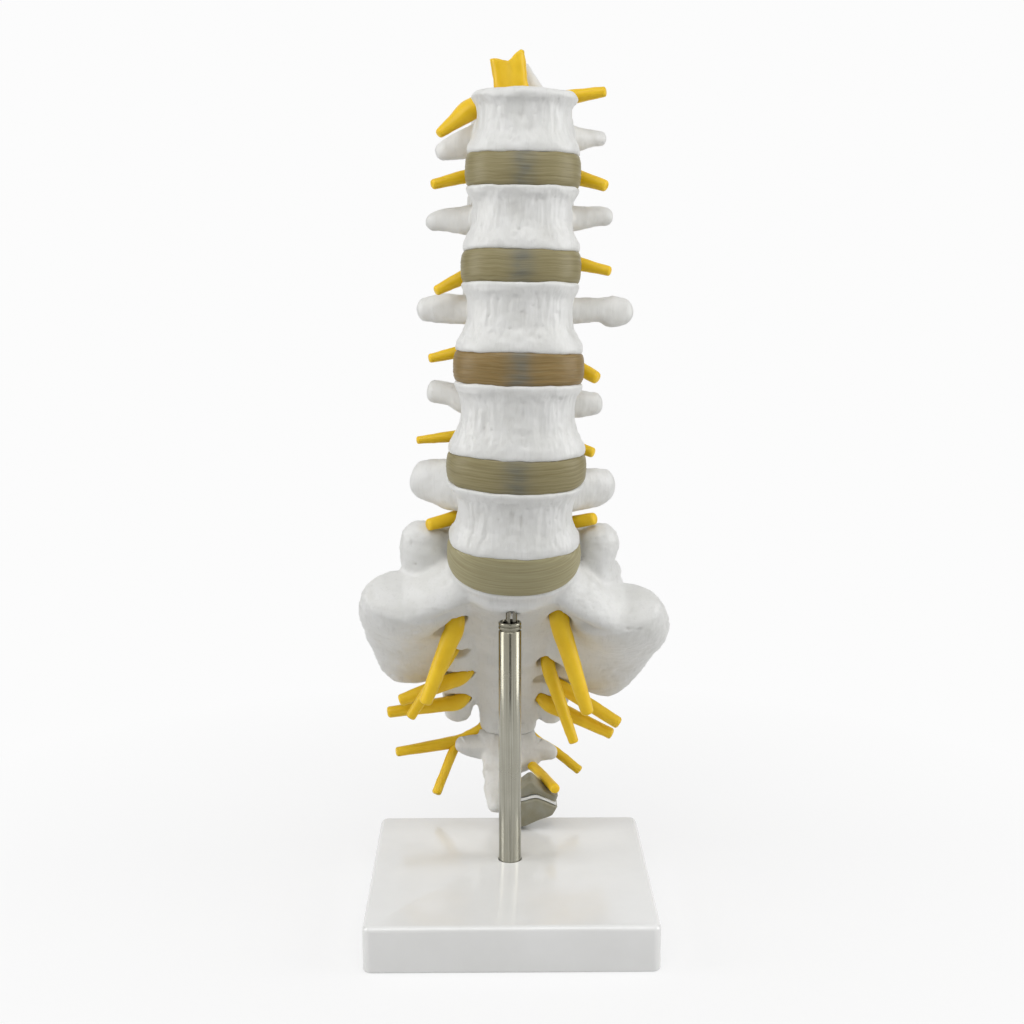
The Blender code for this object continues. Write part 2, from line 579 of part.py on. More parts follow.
def lumbar_nerves(levels, line, finish):
    """The roots that leave beside the discs, drawn in the frames of their vertebrae."""
    for name, host, leave, left, right, radius_in, left_tip, right_tip in LUMBAR_NERVES:
        level = next(level for level in levels if level.data.name == host)
        rear = level.data.depth * MM / 2
        root = on_line(line, (level.frame @ Vector((0, rear + CORD_SETBACK, leave * MM))).z)
        for side, sign, tip, radius_out in (("left", -1, left, left_tip), ("right", 1, right, right_tip)):
            out = CORD_WIDTH / 2 * cord_share(root.z) + FIT_GAP + 0.1 * MM
            start = Vector((root.x + sign * out, root.y, root.z))
            beside = start + Vector((sign * 2.4, -0.4, -0.3)) * MM
            height = (leave * 0.55 + tip[2] * 0.45) * MM
            mid = level.frame @ Vector((sign * 15.5 * MM, rear + 4.6 * MM, height))
            tip = level.frame @ (Vector(tip) * MM)
            path = smooth_path([start, beside, mid, tip], 2)
            nerve(f"nerve_{name}_{side}", path, radius_in * MM, radius_out * MM, finish, sign)


def sacral_nerves(line, finish):
    """The nerves that pass through the sacrum, and one cutter of the canal and their openings."""
    frame = sacrum_frame()

    def spot(x, back, down):
        return frame @ (Vector((x, back, -down * STRETCH)) * MM)

    openings = bmesh.new()
    across = frame.to_3x3() @ Vector((1, 0, 0))
    limb(openings, [(spot(0, back, down), a * MM, b * MM) for down, back, a, b in SACRAL_CANAL],
         side=across, sides=16)
    limb(openings, [(spot(0, 17, 88), 4.5 * MM, 4 * MM), (spot(0, 20, 107), 5 * MM, 8 * MM)],
         side=across, sides=16)
    for name, left, right, left_tip, right_tip, radius_in, radius_out in SACRAL_NERVES:
        for side, sign, place, tip in (("left", -1, left, left_tip), ("right", 1, right, right_tip)):
            x, down, front = place
            row = [r for r in SACRAL_CANAL if r[0] <= down][-1]
            after = [r for r in SACRAL_CANAL if r[0] > down][0]
            back = row[1] + (after[1] - row[1]) * (down - row[0]) / (after[0] - row[0])
            root = on_line(line, spot(0, back, down - 5).z)
            out = CORD_WIDTH / 2 * cord_share(root.z) + FIT_GAP + 0.1 * MM
            start = Vector((root.x + sign * out, root.y, root.z))
            inside = spot(x - sign * 3.5, back - 5, down + 0.5)
            mouth = spot(x, front, down + 2)
            tip = spot(tip[0], tip[1], -tip[2])
            outside = mouth + (tip - mouth).normalized() * 8 * MM
            path = smooth_path([start, inside, mouth, outside], 2) + [outside.lerp(tip, 0.5), tip]
            radii = [radius_in * share * MM for share in (0.45, 0.5, 0.7, 0.9, 1, 1, 0.98)]
            radii += [(radius_in + (radius_out - radius_in) * share) * MM for share in (0.55, 1.0)]
            bm = bmesh.new()
            tube(bm, path, radii, 7, first=Vector((sign, 0, 0)))
            add_object(f"nerve_{name}_{side}", bm, finish)
            widths = [radius + (1.5 if i > 2 else 1.25) * MM for i, radius in enumerate(radii)]
            tube(openings, path[:8], widths[:8], 12, first=Vector((sign, 0, 0)))
    cutter = add_cutter("sacral_openings", openings)
    cast(cutter, 0.2, 0.8 * MM, 2)
    return cutter


def base_plate(plastic, post_cutter, screw_cutter):
    bm = bmesh.new()
    bmesh.ops.create_cube(bm, size=1, matrix=Matrix.Diagonal((BASE_SIDE, BASE_SIDE, BASE_THICKNESS, 1)))
    bmesh.ops.translate(bm, verts=bm.verts, vec=(0, 0, BASE_THICKNESS / 2))
    uprights = [e for e in bm.edges if abs(e.verts[0].co.z - e.verts[1].co.z) > BASE_THICKNESS / 2]
    bmesh.ops.bevel(bm, geom=uprights, offset=BASE_CORNER, segments=2, affect="EDGES", profile=0.5)
    rims = [e for e in bm.edges if abs(e.verts[0].co.z - e.verts[1].co.z) < 1e-6
            and len(e.link_faces) == 2 and abs(e.link_faces[0].normal.z - e.link_faces[1].normal.z) > 0.5]
    bmesh.ops.bevel(bm, geom=rims, offset=BASE_EDGE, segments=2, affect="EDGES", profile=0.5)
    obj = add_object("base_plate", bm, plastic)
    cut(obj, post_cutter)
    cut(obj, screw_cutter)
    return obj


def tail_frame():
    """A level frame in the middle of the sacrum's end. The tail bone and the pads are drawn in it."""
    return Matrix.Translation(sacrum_frame() @ Vector((0, 0, -SACRUM_LENGTH)))


def coccyx(bone):
    """The tail bone: a broad first piece with side bars and horns, then a narrow tail to the front."""
    bm = bmesh.new()
    rows = ((0.1, 1.5, 7.2, 12.8, 4.8), (-0.2, 0.3, 2.2, 12.8, 4.8), (-0.7, -1.4, -3.3, 12.4, 4.6),
            (-1.5, -4.1, -8.8, 9.8, 4.2), (-2.5, -7.9, -13.8, 8.4, 4.2), (-3.1, -11.9, -18.2, 7.4, 3.8),
            (-3.9, -16.4, -22.4, 5.4, 3.5), (-4.7, -20.9, -25.4, 3.9, 3.1))
    limb(bm, [(Vector((x, y, z)) * MM, a * MM, b * MM) for x, y, z, a, b in rows], sides=16)
    left_bar = ((-5.7, -1.4, -4.4, 3.4, 7.5), (-11.7, -2.1, -4.7, 3.0, 6.4), (-15.7, -2.5, -4.1, 2.8, 5.8),
                (-19.2, -2.9, -3.6, 2.6, 4.6), (-20.9, -3.1, -3.1, 2.2, 3.3))
    right_bar = ((6.3, -1.4, -5.4, 3.4, 7.5), (11.3, -2.1, -6.3, 3.0, 6.2), (16.3, -2.5, -7.3, 2.8, 4.6),
                 (19.4, -2.9, -7.9, 2.4, 3.4))
    for bar in (left_bar, right_bar):
        limb(bm, [(Vector((x, y, z)) * MM, a * MM, b * MM) for x, y, z, a, b in bar], side=Vector((0, 1, 0)))
    for sign in (-1, 1):
        limb(bm, [(Vector((sign * 6.4, 1.1, 0.1)) * MM, 2.6 * MM, 2.4 * MM),
                  (Vector((sign * 6.8, 6.6, 4.7)) * MM, 2.0 * MM, 2.0 * MM)])
    obj = add_object("coccyx", bm, bone, tail_frame())
    cast(obj, 0.042)
    top = bmesh.new()
    bmesh.ops.create_cube(top, size=1, matrix=Matrix.Diagonal((50 * MM, 24 * MM, 20 * MM, 1)))
    bmesh.ops.translate(top, verts=top.verts, vec=(0, 0, 10 * MM - SACRUM_LENGTH - FIT_GAP))
    cut(obj, add_cutter("coccyx_top", top, sacrum_frame()))
    side = bmesh.new()
    bmesh.ops.create_cube(side, size=1, matrix=Matrix.Diagonal((20 * MM, 34 * MM, 22 * MM, 1)))
    bmesh.ops.translate(side, verts=side.verts, vec=(TAIL_LEFT - FIT_GAP + 10 * MM, -26.9 * MM, -22.8 * MM))
    cut(obj, add_cutter("coccyx_side", side, tail_frame()))
    return obj


def slab(name, outline, front, back, finish):
    """A plate cut to an outline of (x, z) points, from front to back in y, with softened rims."""
    bm = bmesh.new()
    middle = Vector((sum(x for x, _ in outline), 0, sum(z for _, z in outline))) / len(outline)
    rings = []
    for y, share in ((front, 0.9), (front + 1 * MM, 1.0), (back - 1 * MM, 1.0), (back, 0.9)):
        rings.append([Vector((middle.x + (x - middle.x) * share, y, middle.z + (z - middle.z) * share))
                      for x, z in outline])
    bridge(bm, rings)
    return add_object(name, bm, finish, tail_frame())


def tail(grey, white):
    """Two grey soft pads with a thin white layer between them, beside the tip of the tail bone."""
    seam = [(TAIL_LEFT, z * MM) if x is None else (x * MM, z * MM) for x, z in TAIL_SEAM]
    upper = [(TAIL_LEFT, TAIL_TOP[0][1] * MM)] + [(x * MM, z * MM) for x, z in TAIL_TOP]
    lower = [(x * MM, z * MM) for x, z in TAIL_FOOT] + [(TAIL_LEFT, TAIL_FOOT[-1][1] * MM)]
    half = TAIL_LAYER / 2
    above = [(x, z + half + FIT_GAP) for x, z in seam]
    below = [(x, z - half - FIT_GAP) for x, z in seam]
    layer = [(x, z + half) for x, z in seam] + [(x, z - half) for x, z in reversed(seam)]
    slab("tail_pad_upper", upper + above[::-1], TAIL_FRONT + 1.5 * MM, TAIL_BACK, grey)
    slab("tail_pad_lower", below + lower, TAIL_FRONT, TAIL_BACK, grey)
    bm = bmesh.new()
    bridge(bm, [[Vector((x, y, z)) for x, z in layer] for y in (TAIL_FRONT + 0.5 * MM, TAIL_BACK)])
    add_object("tail_layer", bm, white, tail_frame())


def main():
    clear_scene()
    bone = material("bone_white", (0.82, 0.82, 0.79), 0.5)
    disc_finish = material("disc_grey", (0.42, 0.38, 0.27), 0.45)
    nerve_finish = material("nerve_yellow", (0.86, 0.58, 0.05), 0.4)
    steel = material("post_steel", (0.62, 0.61, 0.58), 0.3, 1.0)
    plastic = material("base_white", (0.88, 0.88, 0.86), 0.2)

    plateau, levels = stack_column()
    highest = levels[-1].frame.translation
    aim = (highest - Vector((0, POST_Y, POST_TOP))).normalized()
    foot = Vector((0, POST_Y, POST_TOP)) - aim * ROD_IN_POST
    rod_top = levels[-1].top.translation.z - ROD_STOP
    length = (rod_top - foot.z) / aim.z
    rod_frame = Matrix.Translation(foot) @ Vector((0, 0, 1)).rotation_difference(aim).to_matrix().to_4x4()
    edge = 0.5 * MM
    add_object("core_rod", turned([(ROD_RADIUS - edge, 0), (ROD_RADIUS, edge), (ROD_RADIUS, length - edge),
                                   (ROD_RADIUS - edge, length)], 16), steel, rod_frame)
    bore_radius = ROD_RADIUS + ROD_HOLE_GAP
    rod_bore = turned([(bore_radius, -FIT_GAP), (bore_radius, length + FIT_GAP)], 16)
    rod_bore = add_cutter("rod_bore", rod_bore, rod_frame)

    bones = [vertebra(level, bone) for level in levels]
    line = cord_line(levels)
    openings = sacral_nerves(line, nerve_finish)
    bones.append(sacrum(plateau, bone, openings))
    for obj in bones:
        cut(obj, rod_bore)

    lower_sizes = [(v.low_width * MM, v.depth * MM) for v in COLUMN]
    upper_sizes = [(PLATEAU_WIDTH, PLATEAU_DEPTH)] + [(v.high_width * MM, v.depth * MM) for v in COLUMN]
    names = ["S1"] + [v.name for v in COLUMN]
    lower = plateau
    for index, level in enumerate(levels):
        below, above = upper_sizes[index], lower_sizes[index]
        name = f"disc_{names[index + 1]}_{names[index]}"
        padding = disc(name, lower, level.bottom, below, above, disc_finish)
        cut(padding, rod_bore)
        lower = level.top

    cord(line, nerve_finish)
    lumbar_nerves(levels, line, nerve_finish)
    coccyx(bone)
    tail(disc_finish, bone)
    for name, hosts, points, radius_in, radius_out in TAIL_NERVES:
        side = "left" if points[0][0] < 0 else "right"
        path = smooth_path([tail_frame() @ (Vector(point) * MM) for point in points], 2)
        radii = [(radius_in + (radius_out - radius_in) * i / (len(path) - 1)) * MM for i in range(len(path))]
        bm = bmesh.new()
        tube(bm, path, radii, 7)
        add_object(f"nerve_{name}_{side}", bm, nerve_finish)
        bm = bmesh.new()
        reach = (path[0] - path[1]).normalized() * FIT_GAP
        tube(bm, [path[0] + reach, *path[1:]], [radius + FIT_GAP for radius in radii], 7)
        socket = add_cutter(f"socket_{name}_{side}", bm)
        for host in hosts:
            cut(bpy.data.objects[host], socket)

    seat = BASE_THICKNESS - POST_SEAT
    post_neck = POST_RADIUS - COLLAR_WALL
    post = turned([(POST_RADIUS - edge, seat), (POST_RADIUS, seat + edge),
                   (POST_RADIUS, POST_TOP - COLLAR_HEIGHT), (post_neck, POST_TOP - COLLAR_HEIGHT),
                   (post_neck, POST_TOP)], 24)
    bmesh.ops.translate(post, verts=post.verts, vec=(0, POST_Y, 0))
    post = add_object("post", post, steel)
    mouth = turned([(POST_MOUTH_RADIUS, POST_TOP - POST_MOUTH_DEPTH),
                    (POST_MOUTH_RADIUS, POST_TOP + 5 * MM)], 20)
    bmesh.ops.translate(mouth, verts=mouth.verts, vec=(0, POST_Y, 0))
    cut(post, add_cutter("post_mouth", mouth))
    cut(post, rod_bore)
    thread = SCREW_RADIUS + FIT_GAP
    screw_hole = turned([(thread, -1 * MM), (thread, seat + SCREW_GRIP + FIT_GAP)], 16)
    bmesh.ops.translate(screw_hole, verts=screw_hole.verts, vec=(0, POST_Y, 0))
    screw_hole = add_cutter("screw_hole", screw_hole)
    cut(post, screw_hole)
    collar = bmesh.new()
    collar_in, collar_out = post_neck + FIT_GAP, POST_RADIUS + COLLAR_GROOVE
    base_z = POST_TOP - COLLAR_HEIGHT + FIT_GAP
    rings = []
    for radius, z in ((collar_in, base_z), (collar_out, base_z), (collar_out, POST_TOP + 0.4 * MM),
                      (collar_in, POST_TOP + 0.4 * MM)):
        turns = [2 * math.pi * i / 24 for i in range(24)]
        rings.append([Vector((radius * math.cos(a), POST_Y + radius * math.sin(a), z)) for a in turns])
    bridge(collar, [*rings, rings[0]], capped=False)
    bmesh.ops.remove_doubles(collar, verts=collar.verts, dist=1e-6)
    add_object("post_collar", collar, steel)

    sink = SCREW_SINK
    head = turned([(SCREW_HEAD_RADIUS - edge, sink), (SCREW_HEAD_RADIUS, sink + edge),
                   (SCREW_HEAD_RADIUS, sink + SCREW_HEAD_HEIGHT), (SCREW_RADIUS, sink + SCREW_HEAD_HEIGHT),
                   (SCREW_RADIUS, seat + SCREW_GRIP - edge), (SCREW_RADIUS - edge, seat + SCREW_GRIP)], 16)
    bmesh.ops.translate(head, verts=head.verts, vec=(0, POST_Y, 0))
    screw = add_object("post_screw", head, steel)
    socket = turned([(1.8 * MM, sink - 1 * MM), (1.8 * MM, sink + 1.8 * MM)], 6)
    bmesh.ops.translate(socket, verts=socket.verts, vec=(0, POST_Y, 0))
    cut(screw, add_cutter("screw_socket", socket))

    well = turned([(POST_RADIUS + FIT_GAP, seat - FIT_GAP),
                   (POST_RADIUS + FIT_GAP, BASE_THICKNESS + 2 * MM)], 24)
    bmesh.ops.translate(well, verts=well.verts, vec=(0, POST_Y, 0))
    counterbore = turned([(SCREW_HEAD_RADIUS + FIT_GAP, -2 * MM),
                          (SCREW_HEAD_RADIUS + FIT_GAP, sink + SCREW_HEAD_HEIGHT + FIT_GAP),
                          (thread, sink + SCREW_HEAD_HEIGHT + FIT_GAP), (thread, seat + 2 * MM)], 24)
    bmesh.ops.translate(counterbore, verts=counterbore.verts, vec=(0, POST_Y, 0))
    base_plate(plastic, add_cutter("post_well", well), add_cutter("screw_counterbore", counterbore))


main()
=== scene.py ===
import math

import bmesh
import bpy
import numpy as np
from mathutils import Matrix, Vector, noise


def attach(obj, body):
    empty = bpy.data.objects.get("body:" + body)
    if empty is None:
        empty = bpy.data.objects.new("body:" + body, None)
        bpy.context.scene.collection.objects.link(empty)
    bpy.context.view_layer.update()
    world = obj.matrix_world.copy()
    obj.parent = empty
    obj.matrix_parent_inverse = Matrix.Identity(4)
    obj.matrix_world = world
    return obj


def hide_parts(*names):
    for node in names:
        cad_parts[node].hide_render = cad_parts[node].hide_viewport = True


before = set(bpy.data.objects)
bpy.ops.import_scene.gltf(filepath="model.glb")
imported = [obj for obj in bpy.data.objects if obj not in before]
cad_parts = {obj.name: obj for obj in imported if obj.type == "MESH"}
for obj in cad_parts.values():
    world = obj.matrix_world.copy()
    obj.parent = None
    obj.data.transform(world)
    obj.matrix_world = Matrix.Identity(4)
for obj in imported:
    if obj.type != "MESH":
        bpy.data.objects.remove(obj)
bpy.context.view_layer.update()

# A white floor that curves up into a backdrop, wide soft lamps in front, above and at both sides, black
# cards that show only in reflections, and the camera a little under the top of the spine, looking down.


def add_node(tree, kind, inputs=(), **settings):
    """A shader node with its settings, and with its inputs given as values or as sockets to link."""
    made = tree.nodes.new(f"ShaderNode{kind}")
    for key, value in settings.items():
        setattr(made, key, value)
    for key, value in dict(inputs).items():
        if isinstance(value, bpy.types.NodeSocket):
            tree.links.new(value, made.inputs[key])
        else:
            made.inputs[key].default_value = value
    return made


def worked(tree, operation, *values):
    """A socket with the result of a sum on values or sockets."""
    return add_node(tree, "Math", dict(enumerate(values)), operation=operation).outputs[0]


def seen_directly(tree):
    """1 for camera, mirror and glass rays, and 0 for the light that falls on the model."""
    path = add_node(tree, "LightPath")
    share = path.outputs["Is Camera Ray"]
    for kind in ("Is Glossy Ray", "Is Transmission Ray"):
        share = worked(tree, "MAXIMUM", share, path.outputs[kind])
    return share


def new_object(name, bm):
    """An object in the scene from a finished mesh."""
    mesh = bpy.data.meshes.new(name)
    bm.to_mesh(mesh)
    bm.free()
    obj = bpy.data.objects.new(name, mesh)
    bpy.context.scene.collection.objects.link(obj)
    return obj


sweep_paper = bpy.data.materials.new("sweep_paper")
sweep_paper.use_nodes = True
tree = sweep_paper.node_tree
tree.nodes.clear()
direct = seen_directly(tree)
tone = add_node(tree, "Mix", {0: direct, 6: (0.66, 0.66, 0.66, 1), 7: (0.95, 0.95, 0.95, 1)},
                data_type="RGBA").outputs[2]
matt = add_node(tree, "BsdfDiffuse", {"Color": tone})
white = add_node(tree, "Emission", {"Color": (0.973, 0.973, 0.973, 1), "Strength": 1.0})
place = add_node(tree, "TexCoord").outputs["Object"]
far = add_node(tree, "VectorMath", {0: place}, operation="LENGTH").outputs["Value"]
paper = add_node(tree, "MapRange", {"Value": far, "From Min": 0.07, "From Max": 0.32,
                                    "To Min": 0.72, "To Max": 1.0}).outputs[0]
share = worked(tree, "MULTIPLY", direct, paper)
blend = add_node(tree, "MixShader", {0: share, 1: matt.outputs[0], 2: white.outputs[0]})
add_node(tree, "OutputMaterial", {0: blend.outputs[0]})

bm = bmesh.new()
profile = [(-4.0, 0.0), (0.9, 0.0)]
profile += [(0.9 + 0.8 * math.sin(a), 0.8 - 0.8 * math.cos(a)) for a in np.linspace(0.1, math.pi / 2, 12)]
profile.append((1.7, 3.2))
rows = [[bm.verts.new((x, y, z - 0.0002)) for y, z in profile] for x in (-4, 4)]
for i in range(len(profile) - 1):
    bm.faces.new((rows[0][i], rows[1][i], rows[1][i + 1], rows[0][i + 1]))
sweep = new_object("sweep", bm)
sweep.data.shade_smooth()
sweep.data.materials.append(sweep_paper)

world = bpy.data.worlds.new("studio_white")
bpy.context.scene.world = world
world.use_nodes = True
tree = world.node_tree
tree.nodes.clear()
strength = worked(tree, "MULTIPLY_ADD", seen_directly(tree), 0.8, 0.2)
sky = add_node(tree, "Background", {"Color": (1, 1, 1, 1), "Strength": strength})
add_node(tree, "OutputWorld", {0: sky.outputs[0]})

for name, place, target, size, power in (
        ("lamp_front", (-0.4, -1.4, 0.6), (0, 0, 0.2), (1.0, 0.9), 0.3),
        ("lamp_above", (-0.05, -0.85, 1.4), (0, 0, 0.12), (1.6, 1.1), 13.8),
        ("lamp_right", (1.2, -0.15, 0.5), (0, 0, 0.18), (0.7, 1.0), 7.6),
        ("lamp_left", (-1.2, -0.15, 0.5), (0, 0, 0.18), (0.6, 1.0), 6.8)):
    light = bpy.data.lights.new(name, "AREA")
    light.shape = "RECTANGLE"
    light.size, light.size_y = size
    light.energy = power
    lamp = bpy.data.objects.new(name, light)
    lamp.location = place
    lamp.rotation_euler = (Vector(target) - Vector(place)).to_track_quat("-Z", "Y").to_euler()
    bpy.context.scene.collection.objects.link(lamp)

# Black cards, two at the sides behind the model and one behind the camera
black = bpy.data.materials.new("black_card")
black.use_nodes = True
black.node_tree.nodes["Principled BSDF"].inputs["Base Color"].default_value = (0.01, 0.01, 0.01, 1)
for place, turn, wide in (((-0.75, 0.45, 0.3), 90, 0.45), ((0.75, 0.45, 0.3), 90, 0.45),
                          ((0.05, -1.6, 0.5), 0, 0.5)):
    upright = Matrix.Rotation(math.radians(turn), 4, "Z") @ Matrix.Rotation(math.radians(90), 4, "X")
    bm = bmesh.new()
    bmesh.ops.create_grid(bm, size=0.5, matrix=Matrix.Translation(place) @ upright
                          @ Matrix.Diagonal((wide, 1.2, 1, 1)))
    card = new_object("black_card", bm)
    card.data.materials.append(black)
    card.visible_diffuse = card.visible_shadow = card.visible_camera = False

eye = bpy.data.cameras.new("camera")
eye.lens, eye.sensor_width = 56.12, 36
camera = bpy.data.objects.new("camera", eye)
camera.location = (-0.00682, -0.60111, 0.27357)
camera.rotation_euler = (math.radians(90 - 10.49), 0, math.radians(-0.717))
bpy.context.scene.collection.objects.link(camera)
bpy.context.scene.camera = camera
bpy.context.scene.view_settings.view_transform = "Standard"

# A square block of white gloss plastic, moulded, with rounded corners and softened edges. The post
# stands in a round well a little behind its middle.

MM = 0.001
BASE_SIDE = 110
BASE_HEIGHT = 18
POST_PLACE = Vector((0, 9, 0))


def shown(obj, slot, *nodes):
    """A finished piece: it rides with the model and stands for its CAD nodes."""
    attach(obj, "root")
    if nodes:
        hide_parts(*nodes)
    return obj


def raw_object(name, bm):
    """An object from a mesh, with its faces turned outwards."""
    bmesh.ops.recalc_face_normals(bm, faces=bm.faces)
    return new_object(name, bm)


def as_object(name, bm, finish=None):
    """A smooth object, in metres, from a mesh worked in millimetres."""
    obj = raw_object(name, bm)
    obj.data.shade_smooth()
    if finish is not None:
        obj.data.materials.append(finish)
    obj.data.transform(Matrix.Scale(MM, 4))
    return obj


def settled(obj):
    """Applies an object's modifiers."""
    graph = bpy.context.evaluated_depsgraph_get()
    mesh = bpy.data.meshes.new_from_object(obj.evaluated_get(graph))
    obj.modifiers.clear()
    old, obj.data = obj.data, mesh
    bpy.data.meshes.remove(old)
    return obj


def carved(obj, cutter):
    """Cuts one object out of another for good."""
    modifier = obj.modifiers.new("carve", "BOOLEAN")
    modifier.operation, modifier.solver, modifier.object = "DIFFERENCE", "EXACT", cutter
    bpy.context.view_layer.update()
    settled(obj)
    bpy.data.objects.remove(cutter)
    return obj


def around(count):
    """Angles evenly round a circle."""
    return [2 * math.pi * i / count for i in range(count)]


def bridge(bm, rings, capped=True):
    """Joins rings of equally many points into a shell."""
    loops = [[bm.verts.new(point) for point in ring] for ring in rings]
    count = len(loops[0])
    for lower, upper in zip(loops, loops[1:]):
        for i in range(count):
            j = (i + 1) % count
            bm.faces.new((lower[i], lower[j], upper[j], upper[i]))
    if capped:
        bm.faces.new(reversed(loops[0]))
        bm.faces.new(loops[-1])


def turned(profile, sides, centre=Vector()):
    """A lathe shape about Z from (radius, height) points in millimetres."""
    bm = bmesh.new()
    bridge(bm, [[centre + Vector((r * math.cos(a), r * math.sin(a), z)) for a in around(sides)]
                for r, z in profile])
    return bm


def surface_group():
    """Shader group for moulded plastic: soft clouding, fine grain, and both as one height."""
    group = bpy.data.node_groups.new("moulded_surface", "ShaderNodeTree")
    for name, default in (("Cloud Scale", 40.0), ("Grain Scale", 900.0), ("Stretch", 1.0)):
        socket = group.interface.new_socket(name, in_out="INPUT", socket_type="NodeSocketFloat")
        socket.default_value = default
    for name in ("Cloud", "Grain", "Height"):
        group.interface.new_socket(name, in_out="OUTPUT", socket_type="NodeSocketFloat")
    given = group.nodes.new("NodeGroupInput")
    where = add_node(group, "TexCoord").outputs["Object"]
    squeeze = add_node(group, "CombineXYZ", {"X": 1.0, "Y": 1.0, "Z": given.outputs["Stretch"]})
    along = add_node(group, "VectorMath", {0: where, 1: squeeze.outputs[0]}, operation="MULTIPLY")
    cloud = add_node(group, "TexNoise", {"Vector": where, "Detail": 4.0, "Roughness": 0.55,
                                         "Scale": given.outputs["Cloud Scale"]})
    grain = add_node(group, "TexNoise", {"Vector": along.outputs[0], "Detail": 3.0, "Roughness": 0.6,
                                         "Scale": given.outputs["Grain Scale"]})
    height = worked(group, "MULTIPLY_ADD", cloud.outputs["Fac"], 0.6, grain.outputs["Fac"])
    given_back = group.nodes.new("NodeGroupOutput")
    for name, value in (("Cloud", cloud.outputs["Fac"]), ("Grain", grain.outputs["Fac"]), ("Height", height)):
        group.links.new(value, given_back.inputs[name])
    return group


moulded_surface = surface_group()


def grouped(tree, group, **values):
    made = add_node(tree, "Group", node_tree=group)
    for key, value in values.items():
        made.inputs[key.replace("_", " ").title()].default_value = value
    return made


def ranged(tree, value, low, high, to_low, to_high):
    """A socket that maps low..high of a value to another range, clamped."""
    return add_node(tree, "MapRange", {"Value": value, "From Min": low, "From Max": high,
                                       "To Min": to_low, "To Max": to_high}).outputs[0]


def mixed(tree, share, first, second):
    """A socket that mixes two colours, each given as a value or as a socket."""
    return add_node(tree, "Mix", {0: share, 6: first, 7: second}, data_type="RGBA").outputs[2]


def finish_of(name, **sockets):
    """A new material and its Principled shader, with the sockets that are the same all over it set."""
    made = bpy.data.materials.new(name)
    made.use_nodes = True
    shader = made.node_tree.nodes["Principled BSDF"]
    for key, value in sockets.items():
        shader.inputs[key.replace("_", " ").title().replace("Ior", "IOR")].default_value = value
    return made, made.node_tree, shader


def coloured(tree, shader, colour, roughness):
    tree.links.new(colour, shader.inputs["Base Color"])
    tree.links.new(roughness, shader.inputs["Roughness"])


def bumped(tree, shader, height, strength, distance):
    bump = add_node(tree, "Bump", {"Height": height, "Strength": strength, "Distance": distance})
    tree.links.new(bump.outputs[0], shader.inputs["Normal"])


gloss_white, tree, shader = finish_of("gloss_white_plastic", coat_weight=0.2, coat_roughness=0.08)
skin = grouped(tree, moulded_surface, cloud_scale=25.0, grain_scale=260.0)
tone = mixed(tree, ranged(tree, skin.outputs["Cloud"], 0.35, 0.65, 0, 1), (0.80, 0.80, 0.785, 1),
             (0.85, 0.85, 0.84, 1))
coloured(tree, shader, tone, ranged(tree, skin.outputs["Grain"], 0.3, 0.7, 0.14, 0.24))
bumped(tree, shader, skin.outputs["Cloud"], 0.08, 0.0006)

bm = bmesh.new()
bmesh.ops.create_cube(bm, size=1, matrix=Matrix.Translation((0, 0, BASE_HEIGHT / 2))
                      @ Matrix.Diagonal((BASE_SIDE, BASE_SIDE, BASE_HEIGHT, 1)))
uprights = [e for e in bm.edges if abs(e.verts[0].co.z - e.verts[1].co.z) > 1]
bmesh.ops.bevel(bm, geom=uprights, offset=3.4, segments=8, affect="EDGES", profile=0.5)
for height, offset in ((BASE_HEIGHT, 2.1), (0, 0.9)):
    rim = [e for e in bm.edges if all(abs(v.co.z - height) < 1e-4 for v in e.verts)]
    bmesh.ops.bevel(bm, geom=rim, offset=offset, segments=6, affect="EDGES", profile=0.5)
base = as_object("base_block", bm, gloss_white)
well = [(4.7, 9), (4.7, BASE_HEIGHT - 0.25), (4.95, BASE_HEIGHT + 0.1), (4.95, 30)]
carved(base, as_object("well", turned(well, 64, POST_PLACE)))
base.data.set_sharp_from_angle(angle=math.radians(32))
shown(base, "base", "base_plate")

# A brushed steel tube that a screw from below holds in the base. A thin turned collar goes round its
# top, and out of its dark mouth comes the forked end of the rod that carries the bones.

POST_RADIUS = 4.5
POST_TOP = 116.4


def brushed(name, tint, dark):
    """Brushed steel, its fine lines running up the tube, with a few stains and painted shade on its top."""
    made, tree, shader = finish_of(name, metallic=1.0)
    skin = grouped(tree, moulded_surface, cloud_scale=60.0, grain_scale=1500.0, stretch=0.012)
    stain = ranged(tree, skin.outputs["Cloud"], 0.42, 0.7, 0, 1)
    line = ranged(tree, skin.outputs["Grain"], 0.3, 0.7, 0, 1)
    tone = mixed(tree, line, dark, tint)
    where = add_node(tree, "TexCoord").outputs["Object"]
    height = add_node(tree, "SeparateXYZ", {0: where}).outputs["Z"]
    # Painted shade: darker from 70 mm up to the top of the post, where it stands under the sacrum, and on the
    # collar and fork there.
    tone = mixed(tree, ranged(tree, height, 0.07, 0.114, 0, 0.6), tone, (0.17, 0.155, 0.11, 1))
    tone = mixed(tree, ranged(tree, stain, 0, 1, 0, 0.45), tone, dark)
    coloured(tree, shader, tone, ranged(tree, stain, 0, 1, 0.2, 0.32))
    bumped(tree, shader, skin.outputs["Grain"], 0.25, 0.00008)
    return made


